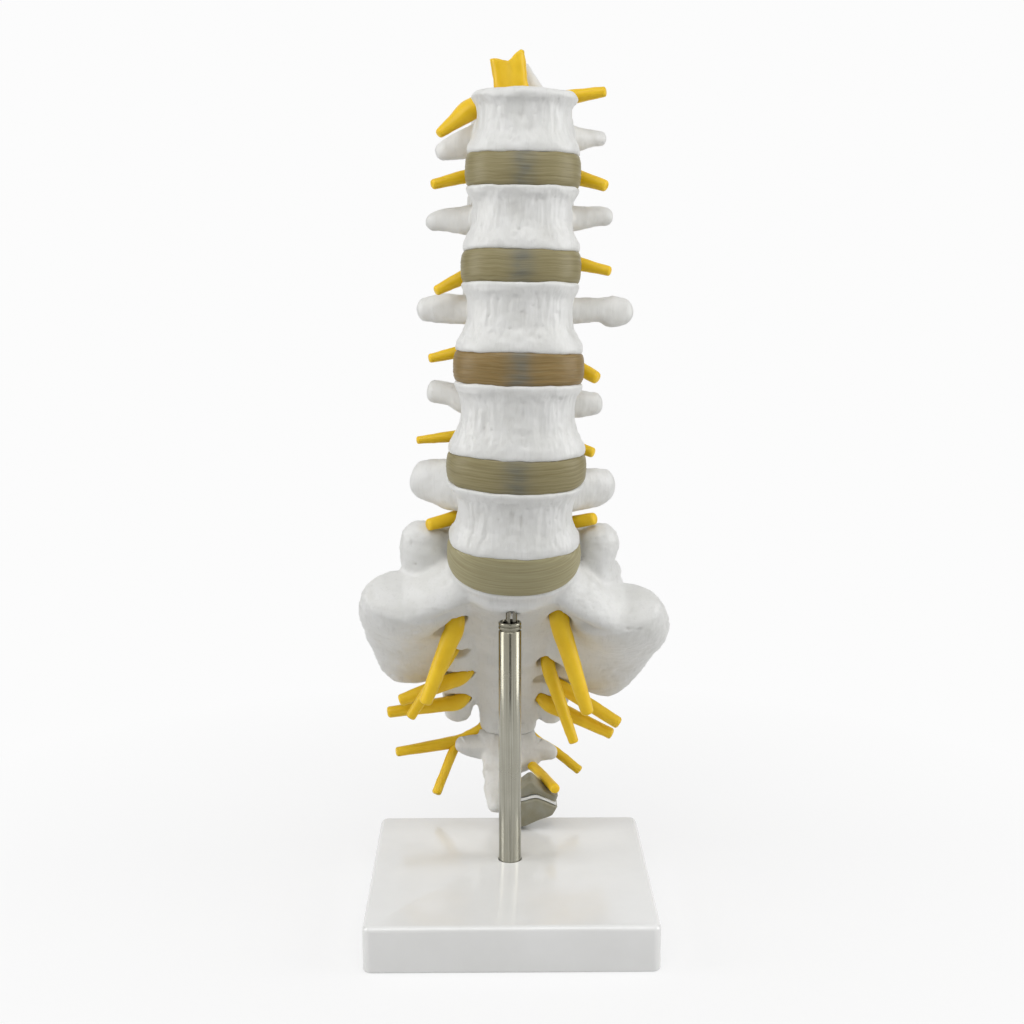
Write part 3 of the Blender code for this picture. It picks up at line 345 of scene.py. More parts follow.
post_steel = brushed("brushed_steel", (0.44, 0.43, 0.37, 1), (0.29, 0.28, 0.225, 1))
dark_steel = brushed("dark_steel", (0.30, 0.29, 0.27, 1), (0.10, 0.10, 0.09, 1))
mouth = [(3.0, POST_TOP - 6), (3.0, POST_TOP - 0.3), (3.3, POST_TOP)]
post = as_object("post_tube", turned(
    [(0.6, 9.2), (4.2, 9.2), (4.5, 9.6), (POST_RADIUS, 20), (POST_RADIUS, 60), (POST_RADIUS, POST_TOP - 3.4),
     (4.3, POST_TOP - 3.1), (3.7, POST_TOP - 3.0), (3.7, POST_TOP - 0.1)]
    + mouth[::-1] + [(0.6, POST_TOP - 6)], 96, POST_PLACE), post_steel)
post.data.set_sharp_from_angle(angle=math.radians(35))
shown(post, "steel", "post")

bm = bmesh.new()
turns = around(96)
ring = [(3.8, -2.4), (4.3, -2.45), (4.5, -2.3), (4.55, -1.9), (4.5, -1.35), (4.2, -1.15), (4.2, -0.95),
        (4.5, -0.75), (4.55, -0.2), (4.45, 0.15), (4.2, 0.35), (3.9, 0.35), (3.8, 0.1)]
bridge(bm, [[POST_PLACE + Vector((r * math.cos(a), r * math.sin(a), POST_TOP + z)) for a in turns]
            for r, z in ring + ring[:1]], capped=False)
bmesh.ops.remove_doubles(bm, verts=bm.verts, dist=1e-5)
collar = as_object("post_collar_ring", bm, post_steel)
collar.data.set_sharp_from_angle(angle=math.radians(35))
shown(collar, "steel", "post_collar")

foot = Vector((0.5, POST_PLACE.y, POST_TOP))
aim = Vector((0.035, 0.036, 1)).normalized()
bm = bmesh.new()
for sign in (-1, 1):
    arc = [math.pi * i / 14 for i in range(15)]
    prong = [Vector((sign * (0.5 + 1.75 * math.sin(a)), 2.0 * math.cos(a), 0)) for a in arc]
    bridge(bm, [[foot + Vector((p.x * s, p.y * s, 0)) + aim * z for p in prong]
                for z, s in ((-5.5, 1), (8.6, 1), (9.0, 0.86))])
bridge(bm, [[foot + Vector((2.1 * math.cos(a), 2.1 * math.sin(a), 0)) + aim * z for a in turns[::4]]
            for z in (-5.8, -1.2)])
fork = as_object("rod_fork", bm, dark_steel)
fork.data.set_sharp_from_angle(angle=math.radians(35))
shown(fork, "steel", "core_rod")
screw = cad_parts["post_screw"]
screw.data.materials.clear()
screw.data.materials.append(dark_steel)

# Lumbar vertebrae, cast in off-white plastic from a real bone: a waisted drum with rolled lips, and
# behind it the pedicles, the arch round the nerve cord, four joint faces, two side bars and a spine.

VOXEL = 0.62
UP, BACK = Vector((0, 0, 1)), Vector((0, 1, 0))
LEAN = math.radians(1.3)
PLATEAU_TILT = math.radians(40)
PROMONTORY = Vector((1.5, 1.0, 128.6))
PLATEAU_DEPTH, PLATEAU_WIDTH = 33, 52


def frame_at(centre, tilt):
    """A frame, in millimetres, that drops its front by tilt and leans sideways as the spine does."""
    return Matrix.Translation(centre) @ Matrix.Rotation(LEAN, 4, "Y") @ Matrix.Rotation(tilt, 4, "X")


def in_metres(place):
    return Matrix.Translation(place.translation * MM) @ place.to_3x3().to_4x4()


def flowed(rows, steps):
    """Rows of numbers with smooth in-between rows, on a Catmull-Rom curve."""
    rows = np.array(rows, float)
    ends = np.vstack([2 * rows[0] - rows[1], rows, 2 * rows[-1] - rows[-2]])
    found = []
    for a, b, c, d in zip(ends, ends[1:], ends[2:], ends[3:]):
        for t in np.arange(steps) / steps:
            found.append(0.5 * (2 * b + (c - a) * t + (2 * a - 5 * b + 4 * c - d) * t ** 2
                                + (3 * b - a - 3 * c + d) * t ** 3))
    return found + [rows[-1]]


def limb(bm, rows, side=Vector((1, 0, 0)), sides=20, steps=3, tip=None):
    """A rounded limb of oval section. A row is x, y, z, half size along side, half size across.

    The far end is rounded over the tip's length, or over the smaller half size.
    """
    rows = flowed(rows, steps)
    centres = [Vector(row[:3]) for row in rows]
    rings = []
    for i, row in enumerate(rows):
        ahead = (centres[min(i + 1, len(rows) - 1)] - centres[max(i - 1, 0)]).normalized()
        u = (side - ahead * side.dot(ahead)).normalized()
        rings.append((centres[i], u * max(row[3], 0.3), ahead.cross(u) * max(row[4], 0.3), ahead))
    for sign, (c, u, v, ahead) in ((-1, rings[0]), (1, rings[-1])):
        bulge = tip if tip and sign > 0 else min(u.length, v.length) * 0.95
        cap = [(c + ahead * sign * bulge * math.sin(a), u * math.cos(a), v * math.cos(a), ahead)
               for a in (0.45, 0.85, 1.2, 1.42)]
        rings = cap[::-1] + rings if sign < 0 else rings + cap
    bridge(bm, [[c + u * math.cos(a) + v * math.sin(a) for a in around(sides)] for c, u, v, _ in rings])


def both_sides(bm, rows, **kinds):
    for sign in (-1, 1):
        limb(bm, [(sign * row[0], *row[1:]) for row in rows], **kinds)


def kidney(width, depth, count=56):
    """The outline of a vertebral body as (angle, x, y): round in front, hollow behind."""
    found = []
    for a in around(count):
        x = math.copysign(abs(math.cos(a)) ** 0.92, math.cos(a)) * width / 2
        share = 0.56 if math.sin(a) < 0 else 0.44
        y = math.copysign(abs(math.sin(a)) ** 0.86, math.sin(a)) * depth * share + 0.06 * depth
        if math.sin(a) > 0:
            y -= 0.055 * depth * math.exp(-((x / (0.17 * width)) ** 2))
        found.append((a, x, y))
    return found


def lip_wave(seed, a):
    """How far the edge of an end face wanders up or down round the body."""
    x, y = math.cos(a), math.sin(a)
    return (0.6 * noise.noise(Vector((x * 1.5, y * 1.5, seed * 3.7)))
            + 0.42 * noise.noise(Vector((x * 4.5, y * 4.5, seed * 5.1 + 9))))


# The share of the full section that a body keeps on its way up, from its lower to its upper face
WAIST = ((0.0, 0.955), (0.02, 0.99), (0.07, 1.0), (0.14, 0.985), (0.24, 0.93), (0.36, 0.872), (0.5, 0.848),
         (0.64, 0.85), (0.76, 0.872), (0.86, 0.935), (0.92, 0.985), (0.96, 1.0), (0.985, 0.99), (1.0, 0.955))

# The uppermost body, whose upper rim is free, is rounder there
FREE_RIM = WAIST[:-5] + ((0.83, 0.93), (0.90, 1.0), (0.95, 0.985), (0.98, 0.955), (1.0, 0.90))

# Bodies from the lowest up, in millimetres and degrees: widths of the lower and upper face, depth,
# height, tilts of the two faces, the disc below, how high the pedicles start, the half spacing of the
# lower joint faces, and the drop of the spine. Each side bar is rows of reach, z, half height, and then
# the length of its rounded tip.
SPINE = (
    dict(name="L5", low=51.4, high=53, depth=34.5, height=25.8, tilts=(12, 8), disc=10, pedicle=3,
         joint=17, drop=-6,
         left=(((17, 4.2, 9.5), (26.1, 4.2, 10.6), (30.5, 4.4, 9.8), (35, 4.4, 8.9), (37.4, 4.8, 7.8)), 4.4),
         right=(((17, 3.3, 8.5), (27.4, 3.3, 8.8), (33.1, 2.8, 8.2), (35.8, 3, 7.2)), 5.0)),
    dict(name="L4", low=53, high=49, depth=34, height=27.7, tilts=(3, 0), disc=10.9, pedicle=3.5,
         joint=11, drop=-8,
         left=(((15, 2.2, 6.2), (21, 2.8, 5.5), (25.2, 4.2, 4.7), (29.5, 5, 4.6), (33.4, 5.4, 4.6)), 2.5),
         right=(((15, 2, 6.2), (24.8, 1.8, 5.7), (28.9, 1.6, 5.0), (31.7, 1.8, 4.5)), 2.9)),
    dict(name="L3", low=49, high=44.6, depth=33.5, height=26.4, tilts=(-3, -4), disc=10.7, pedicle=3,
         joint=10.4, drop=-8,
         left=(((15, 2.6, 6.2), (21.9, 2.9, 5.9), (27.2, 3, 5.9), (32.4, 2.9, 5.7), (36.6, 2.5, 4.8)), 3.8),
         right=(((15, 3, 6), (23.9, 3.3, 5.1), (30.1, 3.8, 4.8), (33.2, 3.7, 5.2), (36.3, 3.2, 6.2),
                 (40.8, 3.3, 5.8)), 4.9)),
    dict(name="L2", low=44.8, high=42.9, depth=33, height=24.1, tilts=(-5, -3.6), disc=11.3, pedicle=2,
         joint=10, drop=-7,
         left=(((15, 1.6, 6), (20.9, 1, 5.8), (25.6, 1.2, 5.1), (30.3, 1.1, 4.4), (33.8, 0.6, 3.7)), 3.7),
         right=(((15, 2.2, 6), (21.3, 2.7, 5.0), (25.6, 3.4, 4.3), (29.8, 4, 3.9), (34, 4, 3.6)), 2.3)),
    dict(name="L1", low=42.7, high=40, depth=31.5, height=23, tilts=(-4, -4), disc=11.5, pedicle=-3,
         joint=9.8, drop=-8,
         left=(((15, -2.6, 6.2), (19.9, -4, 5.9), (24.6, -5.5, 5.4), (29.3, -7, 4.4),
                (31.2, -7.7, 3.7)), 2.8),
         right=(((15, -2.6, 6), (21.6, -2.1, 4.7), (24.7, -1.5, 3.9), (27.9, -1.2, 3.3),
                 (31, -1.2, 2.9)), 1.7)),
)


def stacked():
    """The frame of the sacral plateau, and each vertebra's data with its lower, upper and middle frame."""
    centre = PROMONTORY + Matrix.Rotation(PLATEAU_TILT, 3, "X") @ Vector((0, PLATEAU_DEPTH / 2, 0))
    plateau = frame_at(centre, PLATEAU_TILT)
    below, found = PLATEAU_TILT, []
    for bone in SPINE:
        low, high = (math.radians(tilt) for tilt in bone["tilts"])
        centre = centre + frame_at(Vector(), (below + low) / 2) @ (UP * bone["disc"])
        top = centre + frame_at(Vector(), (low + high) / 2) @ (UP * bone["height"])
        found.append((bone, frame_at(centre, low), frame_at(top, high),
                      frame_at((centre + top) / 2, (low + high) / 2)))
        centre, below = top, high
    return plateau, found


def body_rings(index, bone, bottom, top, middle):
    """The drum of a body between its two tilted faces, with rolled lips and a waist."""
    to_local = middle.inverted()
    rings = []
    for share, size in FREE_RIM if bone["name"] == "L1" else WAIST:
        ring = []
        faces = kidney(bone["low"], bone["depth"]), kidney(bone["high"], bone["depth"])
        for (a, xl, yl), (_, xh, yh) in zip(*faces):
            scale = size - 0.02 * (1 - size) / 0.15 * math.sin(a)
            low = bottom @ Vector((xl * scale, yl * scale, lip_wave(2 * index, a)))
            high = top @ Vector((xh * scale, yh * scale, lip_wave(2 * index + 1, a)))
            ring.append(to_local @ low.lerp(high, share))
        rings.append(ring)
    return rings


def melted(obj, voxel, smoothing):
    """Fuses overlapping limbs into one skin and relaxes it."""
    remesh = obj.modifiers.new("melt", "REMESH")
    remesh.mode, remesh.voxel_size = "VOXEL", voxel
    relax = obj.modifiers.new("relax", "SMOOTH")
    relax.factor, relax.iterations = 0.5, smoothing
    bpy.context.view_layer.update()
    return settled(obj)


def sculpted(obj, field, finish, place):
    """Moves each point along its normal by field, in millimetres, and keeps how deep each hollow is as a mask
    for painted shade.
    """
    mesh = obj.data
    points = np.empty(len(mesh.vertices) * 3, np.float32)
    mesh.vertices.foreach_get("co", points)
    points = points.reshape(-1, 3)
    normals = np.empty(len(mesh.vertices) * 3, np.float32)
    mesh.vertex_normals.foreach_get("vector", normals)
    normals = normals.reshape(-1, 3)
    moved = np.array([field(Vector(p), Vector(n)) for p, n in zip(points, normals)], np.float32)
    mesh.vertices.foreach_set("co", (points + normals * moved[:, None]).ravel())
    # How deep each dent is, which the bone colour uses as painted shade
    hollow = mesh.attributes.new("hollow", "FLOAT", "POINT")
    hollow.data.foreach_set("value", np.clip(-moved / 0.7, 0, 1))
    mesh.update()
    mesh.shade_smooth()
    mesh.transform(Matrix.Scale(MM, 4))
    mesh.materials.clear()
    mesh.materials.append(finish)
    obj.matrix_world = in_metres(place)
    return obj


bone_plastic, tree, shader = finish_of("bone_plastic", coat_weight=0.06, coat_roughness=0.3)
streaks = grouped(tree, moulded_surface, cloud_scale=95.0, grain_scale=950.0, stretch=0.13)
hollow = add_node(tree, "Attribute", attribute_name="hollow").outputs["Fac"]
where = add_node(tree, "TexCoord").outputs["Object"]
fine = add_node(tree, "TexNoise", {"Scale": 2600.0, "Detail": 2.0, "Vector": where}).outputs["Fac"]
clear = mixed(tree, ranged(tree, streaks.outputs["Cloud"], 0.36, 0.66, 0, 1), (0.72, 0.72, 0.695, 1),
              (0.77, 0.77, 0.755, 1))
lined = mixed(tree, ranged(tree, streaks.outputs["Grain"], 0.54, 0.74, 0, 0.38), clear,
              (0.60, 0.60, 0.575, 1))
# Painted shade: the dents and pits of the sculpted surface get darker with their depth.
tone = mixed(tree, ranged(tree, hollow, 0.25, 1.0, 0, 0.5), lined, (0.53, 0.52, 0.485, 1))
coloured(tree, shader, tone, ranged(tree, streaks.outputs["Cloud"], 0.3, 0.7, 0.36, 0.52))
relief = worked(tree, "ADD", streaks.outputs["Height"], ranged(tree, fine, 0.3, 0.7, 0, 0.25))
bumped(tree, shader, relief, 0.3, 0.00022)


def bone_skin(bone, seed):
    """The surface of one vertebra: upright streaks and pits on the waist, soft dents elsewhere."""
    half, rear = bone["height"] / 2, bone["depth"] / 2
    offset = Vector((seed * 11.3, seed * 7.9, 0))
    pits = [(Vector((2.5 - seed, -rear * 0.86, 0.12 * half)), 3.6, 0.3),
            (Vector((7.5 - 3 * seed % 11, -rear * 0.8, 0.55 * half)), 1.1, 0.55),
            (Vector((-10 + 2 * seed, -rear * 0.72, 0.6 * half)), 0.9, 0.45),
            (Vector((-3 + seed, -rear * 0.9, -0.3 * half)), 2.2, 0.2)]

    def field(p, n):
        q = p + offset
        waist = max(0.0, 1 - (abs(p.z) / (half * 0.86)) ** 6) * (1 if p.y < rear * 0.75 else 0.25)
        move = 0.34 * noise.noise(q * 0.14) + 0.14 * noise.noise(q * 0.4)
        streak = noise.noise(Vector((q.x * 0.5, q.y * 0.5, q.z * 0.085)))
        thread = noise.noise(Vector((q.x * 1.35, q.y * 1.35, q.z * 0.14 + 20)))
        move += waist * (0.34 * streak + 0.24 * thread)
        pock = noise.noise(q * 0.75 + Vector((0, 0, 50)))
        move -= waist * max(0.0, pock - 0.5) * 1.6
        ledge = max(0.0, noise.noise(Vector((q.x * 0.09, q.y * 0.05, 3.0))) + 0.15)
        move += 0.7 * ledge * math.exp(-((p.z - half + 3.4) / 0.9) ** 2) * (p.y < 0)
        for centre, radius, depth in pits:
            gap = Vector(((p.x - centre.x), (p.y - centre.y) * 0.5, (p.z - centre.z) * 1.5)).length / radius
            if gap < 2.2:
                move -= depth * math.exp(-gap * gap)
        return move
    return field


plateau, levels = stacked()
for index, (bone, bottom, top, middle) in enumerate(levels):
    rear, half, rise, joint = bone["depth"] / 2, bone["height"] / 2, bone["pedicle"], bone["joint"]
    lowest, highest = bone["name"] == "L5", bone["name"] == "L1"
    pillar = 15.4
    wide = 1.25 if lowest else 1.0
    tall = 0.2 if highest else 4.5
    slim = {"L1": 3.2, "L2": 2.2, "L3": 1.0}.get(bone["name"], 0)
    bm = bmesh.new()
    bridge(bm, body_rings(index, bone, bottom, top, middle))
    both_sides(bm, [(pillar - 1, rear - 9, rise, 5 * wide, 7), (pillar, rear + 3, rise, 4.2 * wide, 6.0),
                    (pillar + 0.5, rear + 11, rise, 4.7 * wide, 6.6)])
    both_sides(bm, [(pillar + 0.8 - slim, rear + 12, rise - 3, 5.2, 4.8),
                    (18.4 - slim, rear + 13, rise + 5, 5.6, 3.8),
                    (19.2 - slim, rear + 12.4, half + tall, 5.0, 3.0)], side=BACK)
    both_sides(bm, [(20.2 - slim, rear + 17, rise + 3.5, 3.0, 3.2),
                    (20.8 - slim, rear + 18.4, rise + 8.5, 2.6, 2.6)], side=BACK)
    both_sides(bm, [(pillar - 0.4, rear + 13.5, rise - 2, 4.8, 4.6), (joint + 1.8, rear + 16.4, -6, 4.6, 4.2),
                    (joint + 0.2, rear + 17, -half - 1, 4.8, 3.9), (joint, rear + 16.6, -half - 5, 4.2, 3.3)],
               side=BACK)
    both_sides(bm, [(14.2, rear + 14, -2, 9.0, 3.4), (8, rear + 19.2, -3.6, 9.6, 3.1),
                    (0.4, rear + 23, -4.6, 9.2, 3.6)], side=UP)
    tip = rear + (36 if lowest else 43)
    drop = bone["drop"]
    limb(bm, [(0, rear + 19, drop * 0.7, 3.4, 8.0), (0, rear + 25, drop * 0.85, 2.6, 8.6),
              (0, (rear + 25 + tip) / 2, drop * 0.95, 2.3, 9.4), (0, tip - 5, drop, 2.9, 10.2),
              (0, tip - 0.5, drop - 1.2, 3.9, 8.6)], steps=4)
    if highest:
        limb(bm, [(9.5, rear + 17.5, 6, 3.0, 3.4), (4.2, rear + 18.5, 17, 4.0, 2.6),
                  (0.8, rear + 19, 25.8, 1.9, 2.0)])
        both_sides(bm, [(10.5, rear + 17.5, 6, 3.0, 3.4), (6.6, rear + 19.4, 12.5, 2.3, 2.9),
                        (4.9, rear + 20.0, 18.6, 1.2, 1.7)])
    near, run, thick = (-4, 11, 5.4) if lowest else (6.5, 7, 4.4)
    for sign, (stations, tip_length) in ((-1, bone["left"]), (1, bone["right"])):
        rows = []
        for x, z, half_height in stations:
            share = (x - stations[0][0]) / (stations[-1][0] - stations[0][0])
            rows.append((sign * x, rear + near + run * share, z, thick - 1.3 * share, half_height))
        limb(bm, rows, side=BACK, sides=24, tip=tip_length)
    obj = raw_object(f"bone_{bone['name']}", bm)
    melted(obj, VOXEL, 6)
    sculpted(obj, bone_skin(bone, index + 1), bone_plastic, middle)
    shown(obj, "bone", f"vertebra_{bone['name']}")

# Discs of taupe rubber, one of them browner, pressed between the end faces. They bulge past the lips,
# show fine level layers, and all but the lowest are blue-grey in the middle of the front.


def disc_finish(name, pale, deep):
    """Layered rubber. The disc's UV map runs round it and up it, in millimetres."""
    made, tree, shader = finish_of(name, specular_ior_level=0.35, coat_weight=0.05, coat_roughness=0.3)
    where = add_node(tree, "UVMap", uv_map="layers").outputs[0]
    layers = []
    for across, upward, detail in ((0.035, 1.5, 3.0), (0.11, 3.6, 2.0)):
        squeezed = add_node(tree, "VectorMath", {0: where, 1: (across, upward, 1)},
                            operation="MULTIPLY").outputs[0]
        layers.append(add_node(tree, "TexNoise", {
            "Vector": squeezed, "Scale": 1.0, "Detail": detail, "Roughness": 0.6}).outputs["Fac"])
    smear = add_node(tree, "Attribute", attribute_name="front_smear").outputs["Fac"]
    cloud = grouped(tree, moulded_surface, cloud_scale=70.0, grain_scale=1500.0)
    tone = mixed(tree, ranged(tree, layers[0], 0.36, 0.64, 0, 1), deep, pale)
    tone = mixed(tree, ranged(tree, layers[1], 0.5, 0.72, 0, 0.4), tone, (0.35, 0.315, 0.18, 1))
    cool = mixed(tree, ranged(tree, layers[0], 0.4, 0.6, 0, 1), (0.125, 0.122, 0.092, 1),
                 (0.195, 0.195, 0.165, 1))
    tone = mixed(tree, smear, tone, cool)
    tone = mixed(tree, ranged(tree, cloud.outputs["Cloud"], 0.4, 0.7, 0, 0.25), tone, deep)
    coloured(tree, shader, tone, ranged(tree, layers[1], 0.3, 0.7, 0.4, 0.55))
    bumped(tree, shader, worked(tree, "ADD", *layers), 0.25, 0.0002)
    return made


def disc(index, lower, upper, size_low, size_high, finish):
    """Rings from the lower end face to the upper one, following the wander of both lips."""
    name = f"disc_{['S1', 'L5', 'L4', 'L3', 'L2'][index]}"
    bulge = ((-0.04, 0.93), (0.0, 0.972), (0.05, 0.99), (0.14, 1.005), (0.3, 1.015), (0.5, 1.018),
             (0.7, 1.015), (0.86, 1.005), (0.95, 0.99), (1.0, 0.972), (1.04, 0.93))
    shares, sizes = [row[0] for row in bulge], [row[1] for row in bulge]
    bm = bmesh.new()
    rings, marks = [], []
    for step in range(-1, 30):
        share = step / 28 if 0 <= step <= 28 else (-0.04 if step < 0 else 1.04)
        size = np.interp(share, shares, sizes)
        ring = []
        for (a, xl, yl), (_, xh, yh) in zip(kidney(*size_low, 112), kidney(*size_high, 112)):
            low = lower @ Vector((xl * size, yl * size, lip_wave(2 * index - 1, a) if index else 0))
            high = upper @ Vector((xh * size, yh * size, lip_wave(2 * index, a)))
            spot = low.lerp(high, share)
            wave = noise.noise(Vector((math.cos(a) * 1.2, math.sin(a) * 1.2, share * 16 + index * 5)))
            out = Vector((spot.x - lower.translation.x, spot.y - lower.translation.y, 0)).normalized()
            ring.append(spot + out * (0.16 * wave if 0 < share < 1 else 0))
            marks.append((a, share * (high - low).length))
        rings.append(ring)
    bridge(bm, rings)
    bm.verts.ensure_lookup_table()
    bm.verts.index_update()
    uv_layer = bm.loops.layers.uv.new("layers")
    for face in bm.faces:
        angles = [marks[loop.vert.index][0] for loop in face.loops]
        wraps = max(angles) - min(angles) > math.pi
        for loop in face.loops:
            a, height = marks[loop.vert.index]
            a += 2 * math.pi if wraps and a < math.pi else 0
            loop[uv_layer].uv = (a * size_low[0] / 2, height + 40 * index)
    obj = as_object(name, bm, finish)
    smear = obj.data.attributes.new("front_smear", "FLOAT", "POINT")
    values = []
    for a, height in marks:
        middle = (a - 1.5 * math.pi) / 0.17
        wander = (0.75 + 0.5 * noise.noise(Vector((a * 6, height * 0.5, index * 4)))) * (index > 0)
        values.append(max(0.0, min(1.0, math.exp(-middle * middle) * wander)))
    smear.data.foreach_set("value", values)
    return obj


disc_taupe = disc_finish("disc_taupe", (0.29, 0.252, 0.13, 1), (0.21, 0.175, 0.078, 1))
disc_brown = disc_finish("disc_brown", (0.27, 0.178, 0.062, 1), (0.19, 0.122, 0.036, 1))
disc_pale = disc_finish("disc_pale", (0.40, 0.365, 0.21, 1), (0.30, 0.262, 0.138, 1))
lower, size_low = plateau, (PLATEAU_WIDTH, PLATEAU_DEPTH)
for index, (bone, bottom, top, middle) in enumerate(levels):
    below = "S1" if index == 0 else levels[index - 1][0]["name"]
    obj = disc(index, lower, bottom, size_low, (bone["low"], bone["depth"]),
               (disc_pale, disc_taupe, disc_brown, disc_taupe, disc_taupe)[index])
    shown(obj, "disc", f"disc_{bone['name']}_{below}")
    lower, size_low = top, (bone["high"], bone["depth"])

# The sacrum, one casting of five fused vertebrae: broad wings with rough sides, two joint knobs at
# the top, a hollow front with four pairs of holes and two slits, and a ridged back over the canal.

SACRUM = frame_at(PROMONTORY, math.radians(42))
SACRUM_LENGTH = 106
# Down the sacrum: distance down, distance back, half width, half depth of the canal
CANAL = ((-10, 45, 14, 8), (8, 41.5, 13.6, 7.6), (26, 34, 12.6, 6.8), (46, 27, 10, 5.5), (66, 22, 8, 4.8),
         (84, 17.5, 7, 4.4), (100, 16, 6, 4.6))
# Roots that come out of the front holes. The mouth is the place across, the distance back and down the
# sacrum, and the way in leads from there into the bone. After them come the free tip as the room has
# it, the radii at the mouth and at the tip, and how much wider and taller than the root its hole is.
SACRAL_ROOTS = (
    ("S1_left", (-23.2, 5.5, 30.3), (-0.6, 6, -3.5), (-34, 24, 79.7), 4.0, 2.7, (1.5, 1.0)),
    ("S1_right", (19.2, 5.3, 26.6), (-0.6, 6, -3.5), (31.6, 24, 75.2), 4.0, 2.7, (0.9, 0.9)),
    ("S2_left", (-25.4, 7.5, 55.0), (2.5, 6, 0), (-41.1, 42, 67.6), 2.5, 2.1, (1.4, 0.6)),
    ("S2_right", (16.4, 7.5, 64.4), (-0.8, 6.5, -2.5), (27, 40, 57), 3.0, 2.1, (2.7, 0.8)),
    ("S3_left", (-21.0, 7.3, 71.6), (3.0, 4.5, 0.3), (-45.4, 52, 71.5), 3.4, 2.6, (0.5, 0.5)),
    ("S3_right", (18.6, 7, 73.5), (-1, 6, 0), (46.2, 52, 61.3), 3.05, 2.6, (0.5, 0.5)),
    ("S4_left", (-22.3, 4.4, 87.6), (3.2, 4.5, 0.3), (-51, 58, 64.3), 3.4, 2.4, (0.5, 0.5)),
    ("S4_right", (17.4, 4.4, 88.0), (-3.2, 4.5, 0), (43.6, 56, 55.1), 3.3, 2.4, (0.5, 0.5)))


def root_points(mouth, inward, tip):
    """Where a sacral root starts in the canal, two points inside the bone, its mouth and its tip.

    All are in the frame of the sacrum.
    """
    x, back, down = mouth
    depth = np.interp(down, [row[0] for row in CANAL], [row[1] for row in CANAL])
    start = Vector((math.copysign(5.5, x), depth, 5 - down))
    mouth, way = Vector((x, back, -down)), Vector((inward[0], inward[1], -inward[2]))
    return start, mouth + way * 1.8, mouth + way, mouth, SACRUM.inverted() @ Vector(tip)


def along(rows):
    """Limb rows down the sacrum from (across, back, down, half width, half depth)."""
    return [(x, y, -down, a, b) for x, y, down, a, b in rows]


def block(name, place, size, shift):
    """A plain block to cut with, moved by shift in the frame of its place."""
    bm = bmesh.new()
    bmesh.ops.create_cube(bm, size=1, matrix=place @ Matrix.Translation(shift) @ Matrix.Diagonal((*size, 1)))
    return raw_object(name, bm)


bm = bmesh.new()
front = ((3, 0.2, 24.6, 31.5), (8, 0.5, 24.4, 30), (12, 1.0, 24.4, 29), (16, 2.2, 24.2, 28.4),
         (24, 4.6, 23.6, 27.5), (34, 6.8, 22.6, 27), (46, 8.4, 21.2, 26.4), (58, 8.6, 19.6, 25),
         (70, 7.4, 17.6, 22.6), (80, 5.6, 15.6, 19.2), (90, 3.0, 14.0, 15.2), (98, 0.6, 12.9, 12.4),
         (SACRUM_LENGTH + 2, -1.6, 12.2, 9.6))
to_sacrum = SACRUM.inverted() @ plateau
rings = [[to_sacrum @ Vector((x * s, y * s, z)) for a, x, y in kidney(PLATEAU_WIDTH, PLATEAU_DEPTH)]
         for s, z in ((0.955, 0.0), (0.99, -0.5), (1.0, -1.6), (0.99, -3.2))]
for down, near, half, far in front:
    ring = []
    for a, x, y in kidney(2, 2):
        fall = down + 2.5 * (1 - down / 103) * math.sin(a)
        ring.append(Vector((x * half, near + (far - near) * (0.5 + 0.5 * math.sin(a)), -fall)))
    rings.append(ring)
bridge(bm, rings[::-1])
for wing in (((-35.5, 12.8, 74.5, 16.4, 5.2), (-38, 13.8, 68, 18.4, 6.4), (-39.4, 15, 59, 19.4, 7.8),
              (-40.5, 15, 48, 20.5, 9.2), (-41, 14, 38, 20.9, 10.6), (-41.6, 12.5, 28, 20.9, 11.8),
              (-40.5, 11.5, 18, 19.6, 12.2)),
             ((33.5, 12.2, 79.5, 15.4, 5), (37, 13.2, 74, 16.8, 6), (39.8, 14.6, 66, 18.4, 7.2),
              (42, 15, 55, 20, 9), (43.6, 14, 44, 21.2, 10.8), (43.2, 12.3, 34, 21.2, 12),
              (40.8, 11.5, 24, 19, 12.3))):
    limb(bm, along(wing), sides=32, tip=3.8)
for knob in (((-34, 24, 20, 10.5, 10), (-35.6, 27.5, 12, 10, 9.4), (-36.2, 30.2, 5, 9.7, 8.6),
              (-36.2, 30.6, 3.6, 9.2, 7.4)),
             ((33.5, 24, 20, 9, 10), (33.8, 27.5, 12, 7.0, 9), (34.2, 30, 5.5, 8.2, 8),
              (34.2, 30.8, 3.5, 8, 7.4))):
    limb(bm, along(knob), sides=28)
for corner in (((-19, 14, 76, 9.5, 5.4), (-21.5, 9.4, 89, 7.6, 5), (-22.2, 6, 99, 6, 4.4)),
               ((18, 14, 76, 9, 5.4), (19.5, 9.4, 89, 7, 5), (18.6, 6, 99, 5.4, 4.4))):
    limb(bm, along(corner))
limb(bm, along([(-16, 6.6, 7.5, 4, 3.4), (-9, 4.0, 8.6, 4.8, 3.9), (-1.5, 2.7, 9.2, 5.0, 3.9),
                (6, 4.0, 8.6, 4.8, 3.9), (13, 6.6, 7.5, 4, 3.4)]), side=UP)
for sign, fall in ((-1, 0), (1, 3)):
    limb(bm, [(sign * 20, 14.5, -9, 7.5, 11), (sign * 32, 13, -15 - fall, 6.5, 12.3),
              (sign * 42, 12.5, -19.5 - 1.5 * fall, 6, 12.5)], side=UP, sides=28)
both_sides(bm, along([(25, 13.5, 14, 10, 8.5), (25, 14, 26, 10, 8.5), (24.5, 15.5, 44, 10, 7.5),
                      (23.5, 14.5, 60, 10, 7), (22, 12.5, 74, 9, 6)]), sides=24)
both_sides(bm, along([(36, 27, 20, 8, 6.5), (37, 25.5, 34, 9, 6.5), (35.5, 22, 48, 9, 6),
                      (31, 18, 62, 9, 5.4), (26, 14.6, 74, 8, 5)]), sides=24)
both_sides(bm, along([(24, 33, 8, 6, 6), (33, 31, 7, 6, 6)]), side=BACK)
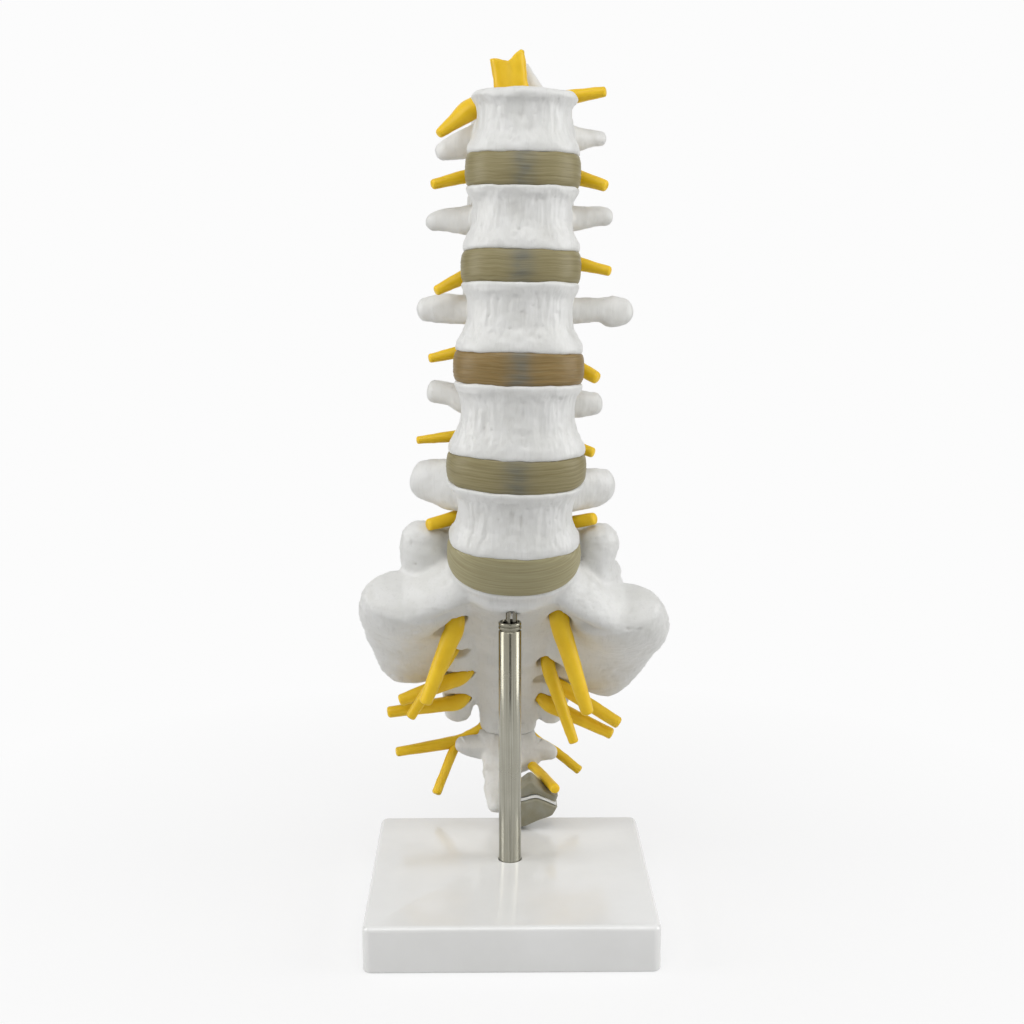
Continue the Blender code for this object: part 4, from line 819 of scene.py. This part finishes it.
both_sides(bm, along([(30, 36, 9, 6, 7), (28.5, 34.5, 16, 9, 8), (27, 32, 27, 12, 8.5),
                      (25, 27, 42, 12, 7.6), (21, 21.5, 60, 10.5, 6.2), (17, 16, 76, 8, 5.2)]), sides=24)
both_sides(bm, along([(7.4, 16.5, 88, 3.2, 3.8), (7.4, 14.4, 97, 2.8, 3.2), (7.2, 13.4, 102, 2.0, 2.4)]))
for down, back, spread in ((30, 43.2, 14), (44, 37.6, 13), (58, 31.2, 12), (71, 25.2, 11)):
    both_sides(bm, along([(spread, back - 2.5, down - 3.5, 2.6, 2.6),
                          (spread, back - 4.2, down + 3.5, 2.6, 2.6)]))
limb(bm, along([(0, 42, 20, 19, 7), (0, 39.5, 25, 22, 8.6), (0, 35.5, 32, 24, 9.6), (0, 29.5, 46, 20, 9.3),
                (0, 24, 62, 17, 8.2), (0, 19, 76, 14.5, 6.6), (0, 15.6, 86, 12.6, 5.2)]), sides=32)
for back, down, tall in ((51.5, 27, 6.5), (47, 40, 7), (40.5, 54, 6.5), (33, 67, 5.5)):
    limb(bm, [(0, back - 10, -down + 1.5, 3.8, tall + 2), (0, back - 3, -down, 2.8, tall + 0.6),
              (0, back, -down - 0.5, 3.3, tall - 1)])
sacrum = raw_object("bone_sacrum", bm)
melted(sacrum, 1.0, 2)

bm = bmesh.new()
limb(bm, [(0, y, -down, a, b) for down, y, a, b in CANAL], sides=24)
limb(bm, [(0, 17, -86, 4.4, 4), (0, 21, -107, 5.2, 8)], sides=24)
for name, mouth, inward, tip, thick, thin, (wide, tall) in SACRAL_ROOTS:
    start, deep, inner, mouth, tip = root_points(mouth, inward, tip)
    away, lift = (tip - mouth).normalized(), Vector((0, 0, 0.35))
    limb(bm, [(*start, 2.6, 2.6), (*deep, 3.2, 3.2),
              (*(inner + lift), thick + wide * 0.7, thick + tall * 0.7),
              (*(mouth + lift), thick + wide, thick + tall),
              (*(mouth + lift + away * 6), thick + wide * 2, thick + tall * 2),
              (*(mouth + away * 17), thick + 0.6, thick + 0.6)], sides=24)
    sign = math.copysign(1, start.x)
    limb(bm, [(sign * 6, start.y, start.z - 4, 2.0, 2.0), (sign * 16, start.y + 6, start.z - 7, 2.2, 2.6),
              (sign * 18.5, start.y + 22, start.z - 11, 2.6, 3.0)])
for slit in (((-24, 9, 55.6, 2.7, 3.8), (-18.8, 9, 54.8, 2.4, 3.4)),
             ((17, 8.5, 75.5, 2.3, 3.6), (11.8, 8.5, 74.5, 2.1, 3.2))):
    limb(bm, along(slit), side=UP)
to_local = SACRUM.inverted()
limb(bm, [(*(to_local @ (foot + aim * z)), 2.8, 2.8) for z in (-1, 4, 9, 13)])
limb(bm, [(*(to_local @ (foot + Vector((-2.2, 0, z)))), 2.2, 2.2) for z in (-1, 1.6)])
carved(sacrum, melted(raw_object("openings", bm), 0.7, 2))
carved(sacrum, block("disc_seat", to_sacrum, (PLATEAU_WIDTH + 3.4, PLATEAU_DEPTH + 5.5, 40), (0, -2.2, 20)))
melted(sacrum, 0.72, 4)
carved(sacrum, block("lower_end", Matrix.Identity(4), (70, 70, 20), (0, 0, -SACRUM_LENGTH - 10)))


def sacral_skin(p, n):
    """Soft dents, level seams between the fused bodies, and rough ear-shaped sides."""
    q = p + Vector((40, 20, 0))
    move = 0.42 * noise.noise(q * 0.11) + 0.16 * noise.noise(q * 0.38)
    front = max(0.0, -n.y)
    if abs(p.x) < 16 and front > 0.3:
        for seam in (40, 63, 77, 91):
            move += 0.55 * math.exp(-((p.z + seam) / 2.2) ** 2) * front * (1 - (p.x / 16) ** 4)
    side = max(0.0, abs(n.x) - 0.55) / 0.45 if abs(p.x) > 34 else 0.0
    move += side * (0.5 * noise.noise(q * 0.3) + 0.3 * noise.noise(q * 0.8))
    move += 0.16 * noise.noise(Vector((q.x * 0.22, q.y * 0.8, q.z * 0.8)))
    rear = max(0.0, n.y)
    move += rear * (0.5 * noise.noise(q * 0.2 + Vector((0, 0, 9))) + 0.2 * noise.noise(q * 0.7))
    return move - max(0.0, noise.noise(q * 0.6 + Vector((0, 0, 70))) - 0.5) * 1.6


sculpted(sacrum, sacral_skin, bone_plastic, SACRUM)
shown(sacrum, "bone", "sacrum")

# The tail bone, a small casting that hangs flush under the sacrum: side bars and two horns at the
# top, then fused pieces that shrink and curl forward. Two grey rubber pads with a white layer
# between them hang beside its tip.

bm = bmesh.new()
limb(bm, [(-0.3, 73.4, 58, 12.9, 4.8), (-0.4, 72.4, 52.5, 12.9, 4.8), (-1.2, 70.5, 46.5, 12.0, 4.6),
          (-1.6, 69.0, 43.2, 9.6, 4.2), (-2.2, 66.8, 39.8, 9.6, 4.3), (-2.8, 64.6, 36.8, 8.4, 4.0),
          (-3.1, 62.4, 34.2, 8.4, 4.1),
          (-3.7, 59.6, 31.2, 7.0, 3.7), (-4.1, 57.2, 28.8, 6.9, 3.7), (-4.8, 53.6, 26.2, 5.4, 3.3),
          (-5.4, 50.6, 24.2, 3.9, 3.0)], sides=28, steps=4)
limb(bm, [(-6, 70.5, 45.5, 3.4, 7.5), (-12, 69.8, 45.2, 3.0, 6.4), (-16, 69.4, 45.8, 2.8, 5.8),
          (-19.5, 69, 46.4, 2.6, 5.0), (-21.6, 68.8, 47.0, 2.4, 4.0)], side=BACK, tip=1.5)
limb(bm, [(6, 70.5, 44.5, 3.4, 7.5), (11, 69.8, 43.6, 3.0, 6.2), (16, 69.4, 42.6, 2.8, 4.6),
          (19.2, 69, 42, 2.4, 3.4)], side=BACK)
limb(bm, [(-2, 68, 38, 3.4, 6.5), (5.6, 68, 38.8, 3.2, 5.6), (12, 69, 41.4, 2.8, 4.4)], side=BACK)
both_sides(bm, [(6.4, 73, 50, 2.6, 2.4), (6.8, 77, 53.6, 2.1, 2.1), (6.9, 79, 56.4, 1.5, 1.5)])
tail_bone = raw_object("bone_coccyx", bm)
melted(tail_bone, 0.6, 7)
carved(tail_bone, block("tail_top", SACRUM, (60, 26, 20), (0, 0, 10 - SACRUM_LENGTH - 0.25)))
carved(tail_bone, block("tail_side", Matrix.Identity(4), (20, 34, 22), (8.45, 45, 27)))
sculpted(tail_bone, lambda p, n: 0.3 * noise.noise(p * 0.2) + 0.16 * noise.noise(p * 0.6), bone_plastic,
         Matrix.Identity(4))
shown(tail_bone, "bone", "coccyx")

pad_grey, tree, shader = finish_of("pad_grey_rubber", coat_weight=0.1, coat_roughness=0.3)
skin = grouped(tree, moulded_surface, cloud_scale=160.0, grain_scale=1400.0)
tone = mixed(tree, ranged(tree, skin.outputs["Cloud"], 0.35, 0.65, 0, 1), (0.215, 0.195, 0.12, 1),
             (0.27, 0.26, 0.20, 1))
coloured(tree, shader, tone, ranged(tree, skin.outputs["Grain"], 0.3, 0.7, 0.4, 0.55))
bumped(tree, shader, skin.outputs["Height"], 0.2, 0.0002)


def slab(name, outline, front, back, finish, round_off=1.4):
    """A rubber piece cut to a smooth outline of (x, z) points, its front and back rims rounded."""
    bm = bmesh.new()
    count = len(outline)
    middle = Vector((sum(x for x, _ in outline) / count, 0, sum(z for _, z in outline) / count))
    rings = []
    for y, inset in ((front, round_off), (front + 0.25 * round_off, 0.35 * round_off), (front + round_off, 0),
                     (back - round_off, 0), (back - 0.25 * round_off, 0.35 * round_off), (back, round_off)):
        ring = []
        for x, z in outline:
            away = Vector((x - middle.x, 0, z - middle.z))
            ring.append(middle + Vector((0, y, 0)) + away * (1 - inset / max(away.length, 3)))
        rings.append(ring)
    bridge(bm, rings)
    obj = as_object(name, bm, finish)
    obj.data.set_sharp_from_angle(angle=math.radians(50))
    return obj


def smooth_edge(*points):
    return [tuple(point) for point in flowed(points, 4)]


LEFT_END = -1.2
top_edge = [(LEFT_END, 35)] + smooth_edge((2, 35), (5.2, 37.5), (9, 40), (12.2, 37.6), (15.5, 35),
                                          (20.6, 32.8))
seam = smooth_edge((LEFT_END, 31.2), (5.4, 31.8), (10.9, 33.2), (14.5, 32.2), (19.8, 29.8))
foot_edge = smooth_edge((20.3, 28.4), (19, 26), (17.6, 24.4), (13.2, 22.8), (9, 20.9), (5, 19.6),
                        (LEFT_END, 19.2))
upper_outline = top_edge + [(x, z + 0.6) for x, z in seam[::-1]]
lower_outline = [(x, z - 0.6) for x, z in seam] + foot_edge
layer_outline = [(x, z + 0.38) for x, z in seam] + [(x, z - 0.38) for x, z in seam[::-1]]
shown(slab("tail_pad_upper_rubber", upper_outline, 39, 51, pad_grey), "disc", "tail_pad_upper")
shown(slab("tail_pad_lower_rubber", lower_outline, 37.5, 51, pad_grey), "disc", "tail_pad_lower")
shown(slab("tail_layer_plastic", layer_outline, 38, 51, bone_plastic, 0.2), "bone", "tail_layer")

# The nerve cord and its roots, poured in soft yellow rubber. The cord is an oval strand, hollow in
# front like a gutter at its cut top. Each root leaves it sideways and tapers to a rounded end.

nerve_rubber, tree, shader = finish_of("nerve_yellow_rubber", specular_ior_level=0.3, coat_weight=0.05,
                                       coat_roughness=0.3, subsurface_weight=0.08, subsurface_scale=0.002,
                                       subsurface_radius=(1.0, 0.6, 0.1))
skin = grouped(tree, moulded_surface, cloud_scale=110.0, grain_scale=1600.0)
tone = mixed(tree, ranged(tree, skin.outputs["Cloud"], 0.36, 0.66, 0, 1), (0.83, 0.53, 0.012, 1),
             (0.90, 0.60, 0.024, 1))
tone = mixed(tree, ranged(tree, skin.outputs["Grain"], 0.6, 0.8, 0, 0.3), tone, (0.72, 0.42, 0.01, 1))
coloured(tree, shader, tone, ranged(tree, skin.outputs["Cloud"], 0.3, 0.7, 0.34, 0.46))
bumped(tree, shader, skin.outputs["Height"], 0.18, 0.0002)


def strand(name, rows, sides=24, steps=6, first=None):
    """A round tapering root through rows of x, y, z, radius, with a rounded cut end."""
    rows = flowed(rows, steps)
    centres = [Vector(row[:3]) for row in rows]
    rings, u = [], Vector((0.1, 1, 0.2))
    for i, row in enumerate(rows):
        ahead = centres[min(i + 1, len(rows) - 1)] - centres[max(i - 1, 0)]
        ahead = (first if i == 0 and first is not None else ahead).normalized()
        u = (u - ahead * u.dot(ahead)).normalized()
        rings.append((centres[i], u, ahead.cross(u), row[3], ahead))
    c, u, v, r, ahead = rings[-1]
    for forward, size in ((0.12, 0.97), (0.3, 0.88), (0.42, 0.72), (0.48, 0.5), (0.5, 0.25)):
        rings.append((c + ahead * r * forward, u, v, r * size, ahead))
    bm = bmesh.new()
    skins = []
    for c, u, v, r, _ in rings:
        spokes = [u * math.cos(a) + v * math.sin(a) for a in around(sides)]
        skins.append([c + spoke * (r + 0.16 * noise.noise((c + spoke * r) * 0.35)) for spoke in spokes])
    bridge(bm, skins)
    return as_object(name, bm, nerve_rubber)


CORD_HALF_WIDTH = 6.7
CORD_BEHIND = 9.5
top_bone, _, _, top_middle = levels[-1]
line = [top_middle @ Vector((-4.8 - 0.16 * (rise - 17.5), top_bone["depth"] / 2 + CORD_BEHIND, rise))
        for rise in (27.2, 22.5, 17)]
for bone, _, _, middle in reversed(levels):
    line.append(middle @ Vector((-0.8 if bone["name"] == "L1" else 0, bone["depth"] / 2 + CORD_BEHIND, 0)))
line += [SACRUM @ Vector((0, back, -down)) for down, back, _, _ in CANAL[1:-1]]
line = [Vector(p) for p in flowed(line, 6)]


def cord_share(height):
    """Full in the lumbar canal, and thinning to the end in the sacral canal."""
    return max(0.3, min(1.0, (height - 62) / 80))


def on_line(height):
    for a, b in zip(line, line[1:]):
        if b.z <= height <= a.z:
            return a.lerp(b, (a.z - height) / (a.z - b.z))
    return line[-1]


bm = bmesh.new()
rings = []
turns = around(48)
for i, point in enumerate(line):
    ahead = (line[max(i - 1, 0)] - line[min(i + 1, len(line) - 1)]).normalized()
    u = (Vector((1, 0, 0)) - ahead * ahead.x).normalized()
    v = ahead.cross(u)
    share = cord_share(point.z)
    open_top = max(0.0, 1 - i / 22)
    ring = []
    for a in turns:
        x = math.cos(a)
        dent = (0.12 + 0.55 * open_top) * math.exp(-((x / 0.5) ** 2)) if math.sin(a) < 0 else 0.0
        flare = 1 + 0.02 * max(0, 1 - i / 8)
        spot = point + u * (CORD_HALF_WIDTH * share * flare * x)
        spot += v * (4.3 * share * math.sin(a) * (1 - dent))
        if i < 7:
            notch = 1.9 * math.exp(-((x + 0.1) / 0.45) ** 2)
            spot += ahead * (1 - i / 7) * (1.2 + 3.0 * max(0, x - 0.2) - 5.5 * max(0, x - 0.8) - notch)
        ring.append(spot + (spot - point) * 0.05 * noise.noise(spot * 0.3))
    rings.append(ring)
rim = rings[0]
heart = sum(rim, Vector()) / len(rim)
rings = [[p.lerp(heart, 0.16) - UP * 0.1 for p in rim], [p.lerp(heart, 0.03) for p in rim]] + rings
bridge(bm, rings)
cord = as_object("nerve_cord_rubber", bm, nerve_rubber)
shown(cord, "nerve", "nerve_cord")

# Per pair: the height where it leaves the cord, the left and the right tip, and for each side the radii
# where it leaves, where it comes out beside the bones, and at the tip. Last come the left and the right
# point beside the bones, for roots that don't come out straight.
PAIRS = (
    ("T12", 320.0, (-26.3, 19.0, 304.6), (36.0, 26.0, 320.3), (2.8, 4.1, 1.9), (2.6, 3.2, 2.0),
     (-15.0, 26.5, 313.6), (18, 31, 317.8)),
    ("L1", 294.0, (-28.8, 20.0, 285.7), (36.2, 20.0, 285.2), (2.6, 2.9, 2.0), (2.8, 3.6, 2.2), None, None),
    ("L2", 260.5, (-27.8, 19.5, 245.6), (38.1, 20.0, 252.9), (2.8, 3.4, 2.0), (2.7, 3.1, 1.9), None, None),
    ("L3", 226.0, (-30.5, 19.0, 219.5), (33.3, 16.0, 212.2), (2.6, 2.9, 1.8), (2.7, 3.0, 2.5), None, None),
    ("L4", 190.5, (-35.7, 19.0, 187.5), (32.2, 18.0, 182.6), (2.7, 2.8, 1.5), (2.7, 2.9, 2.0), None, None),
    ("L5", 157.5, (-31.5, 20.0, 153.6), (33.2, 22.0, 155.4), (2.8, 2.9, 2.5), (2.7, 2.8, 2.5),
     (-18, 28.5, 155.8), (20, 29.5, 151.6)),
)
for index, (name, height, left, right, sizes_left, sizes_right, way_left, way_right) in enumerate(PAIRS):
    root = on_line(height)
    bone, _, _, middle = levels[max(0, len(levels) - max(index, 1))]
    body = middle.translation
    for side, sign, tip, sizes, way in (("left", -1, left, sizes_left, way_left),
                                        ("right", 1, right, sizes_right, way_right)):
        start = Vector((root.x + sign * (CORD_HALF_WIDTH * cord_share(root.z) - 0.6), root.y, root.z))
        tip = Vector(tip)
        way = Vector(way or (body.x + sign * 15.5, body.y + bone["depth"] / 2 + 4.2,
                             start.z * 0.55 + tip.z * 0.45))
        beside = start.lerp(way, 0.3) + Vector((0, 0.8, 0))
        rows = [(*start, sizes[0]), (*beside, sizes[0]), (*way, sizes[1]),
                (*way.lerp(tip, 0.5), (sizes[1] + sizes[2]) / 2), (*tip, sizes[2])]
        root_obj = strand(f"root_{name}_{side}", rows, first=Vector((sign, 0, 0)))
        shown(root_obj, "nerve", f"nerve_{name}_{side}")

# The sacral roots come down inside the canal and out of the front holes.
for name, mouth, inward, tip, thick, thin, _ in SACRAL_ROOTS:
    start, deep, inner, mouth, tip = (SACRUM @ point for point in root_points(mouth, inward, tip))
    rows = [(*start, thick * 0.5), (*deep, thick * 0.8), (*inner, thick), (*mouth, thick),
            (*mouth.lerp(tip, 0.2), thick * 0.85 + thin * 0.15),
            (*mouth.lerp(tip, 0.6), thick * 0.45 + thin * 0.55), (*tip, thin)]
    shown(strand(f"root_{name}", rows), "nerve", f"nerve_{name}")

# The last two pairs are plugged into the end of the sacrum and into the tail bone.
TAIL_ROOTS = (
    ("S5_left", ((-8, 76, 55.5, 2.2), (-12.6, 76, 50.4, 2.4), (-17, 76.4, 47.6, 2.5), (-23, 75, 45.2, 2.8),
                 (-48.3, 68, 43, 2.1))),
    ("S5_right", ((7.5, 77, 50, 2.1), (13.6, 76.5, 44.6, 2.1), (18, 76, 42, 2.1), (22.5, 75, 39.2, 2.1),
                  (31, 72, 33, 2.0))),
    ("Co1_left", ((-5, 71, 44.6, 2), (-15, 75.5, 45, 2.1), (-21.5, 75.5, 44.4, 2.1), (-24.2, 72, 42, 2.1),
                  (-27.8, 67, 34.3, 2.1), (-31.3, 62, 26.6, 2.1))),
    ("Co1_right", ((7.5, 69.8, 41.5, 2), (10, 67, 37.2, 2.1), (12.8, 60, 36.7, 2.1), (19.3, 38, 36.8, 2.1))))
for name, rows in TAIL_ROOTS:
    shown(strand(f"root_{name}", rows), "nerve", f"nerve_{name}")
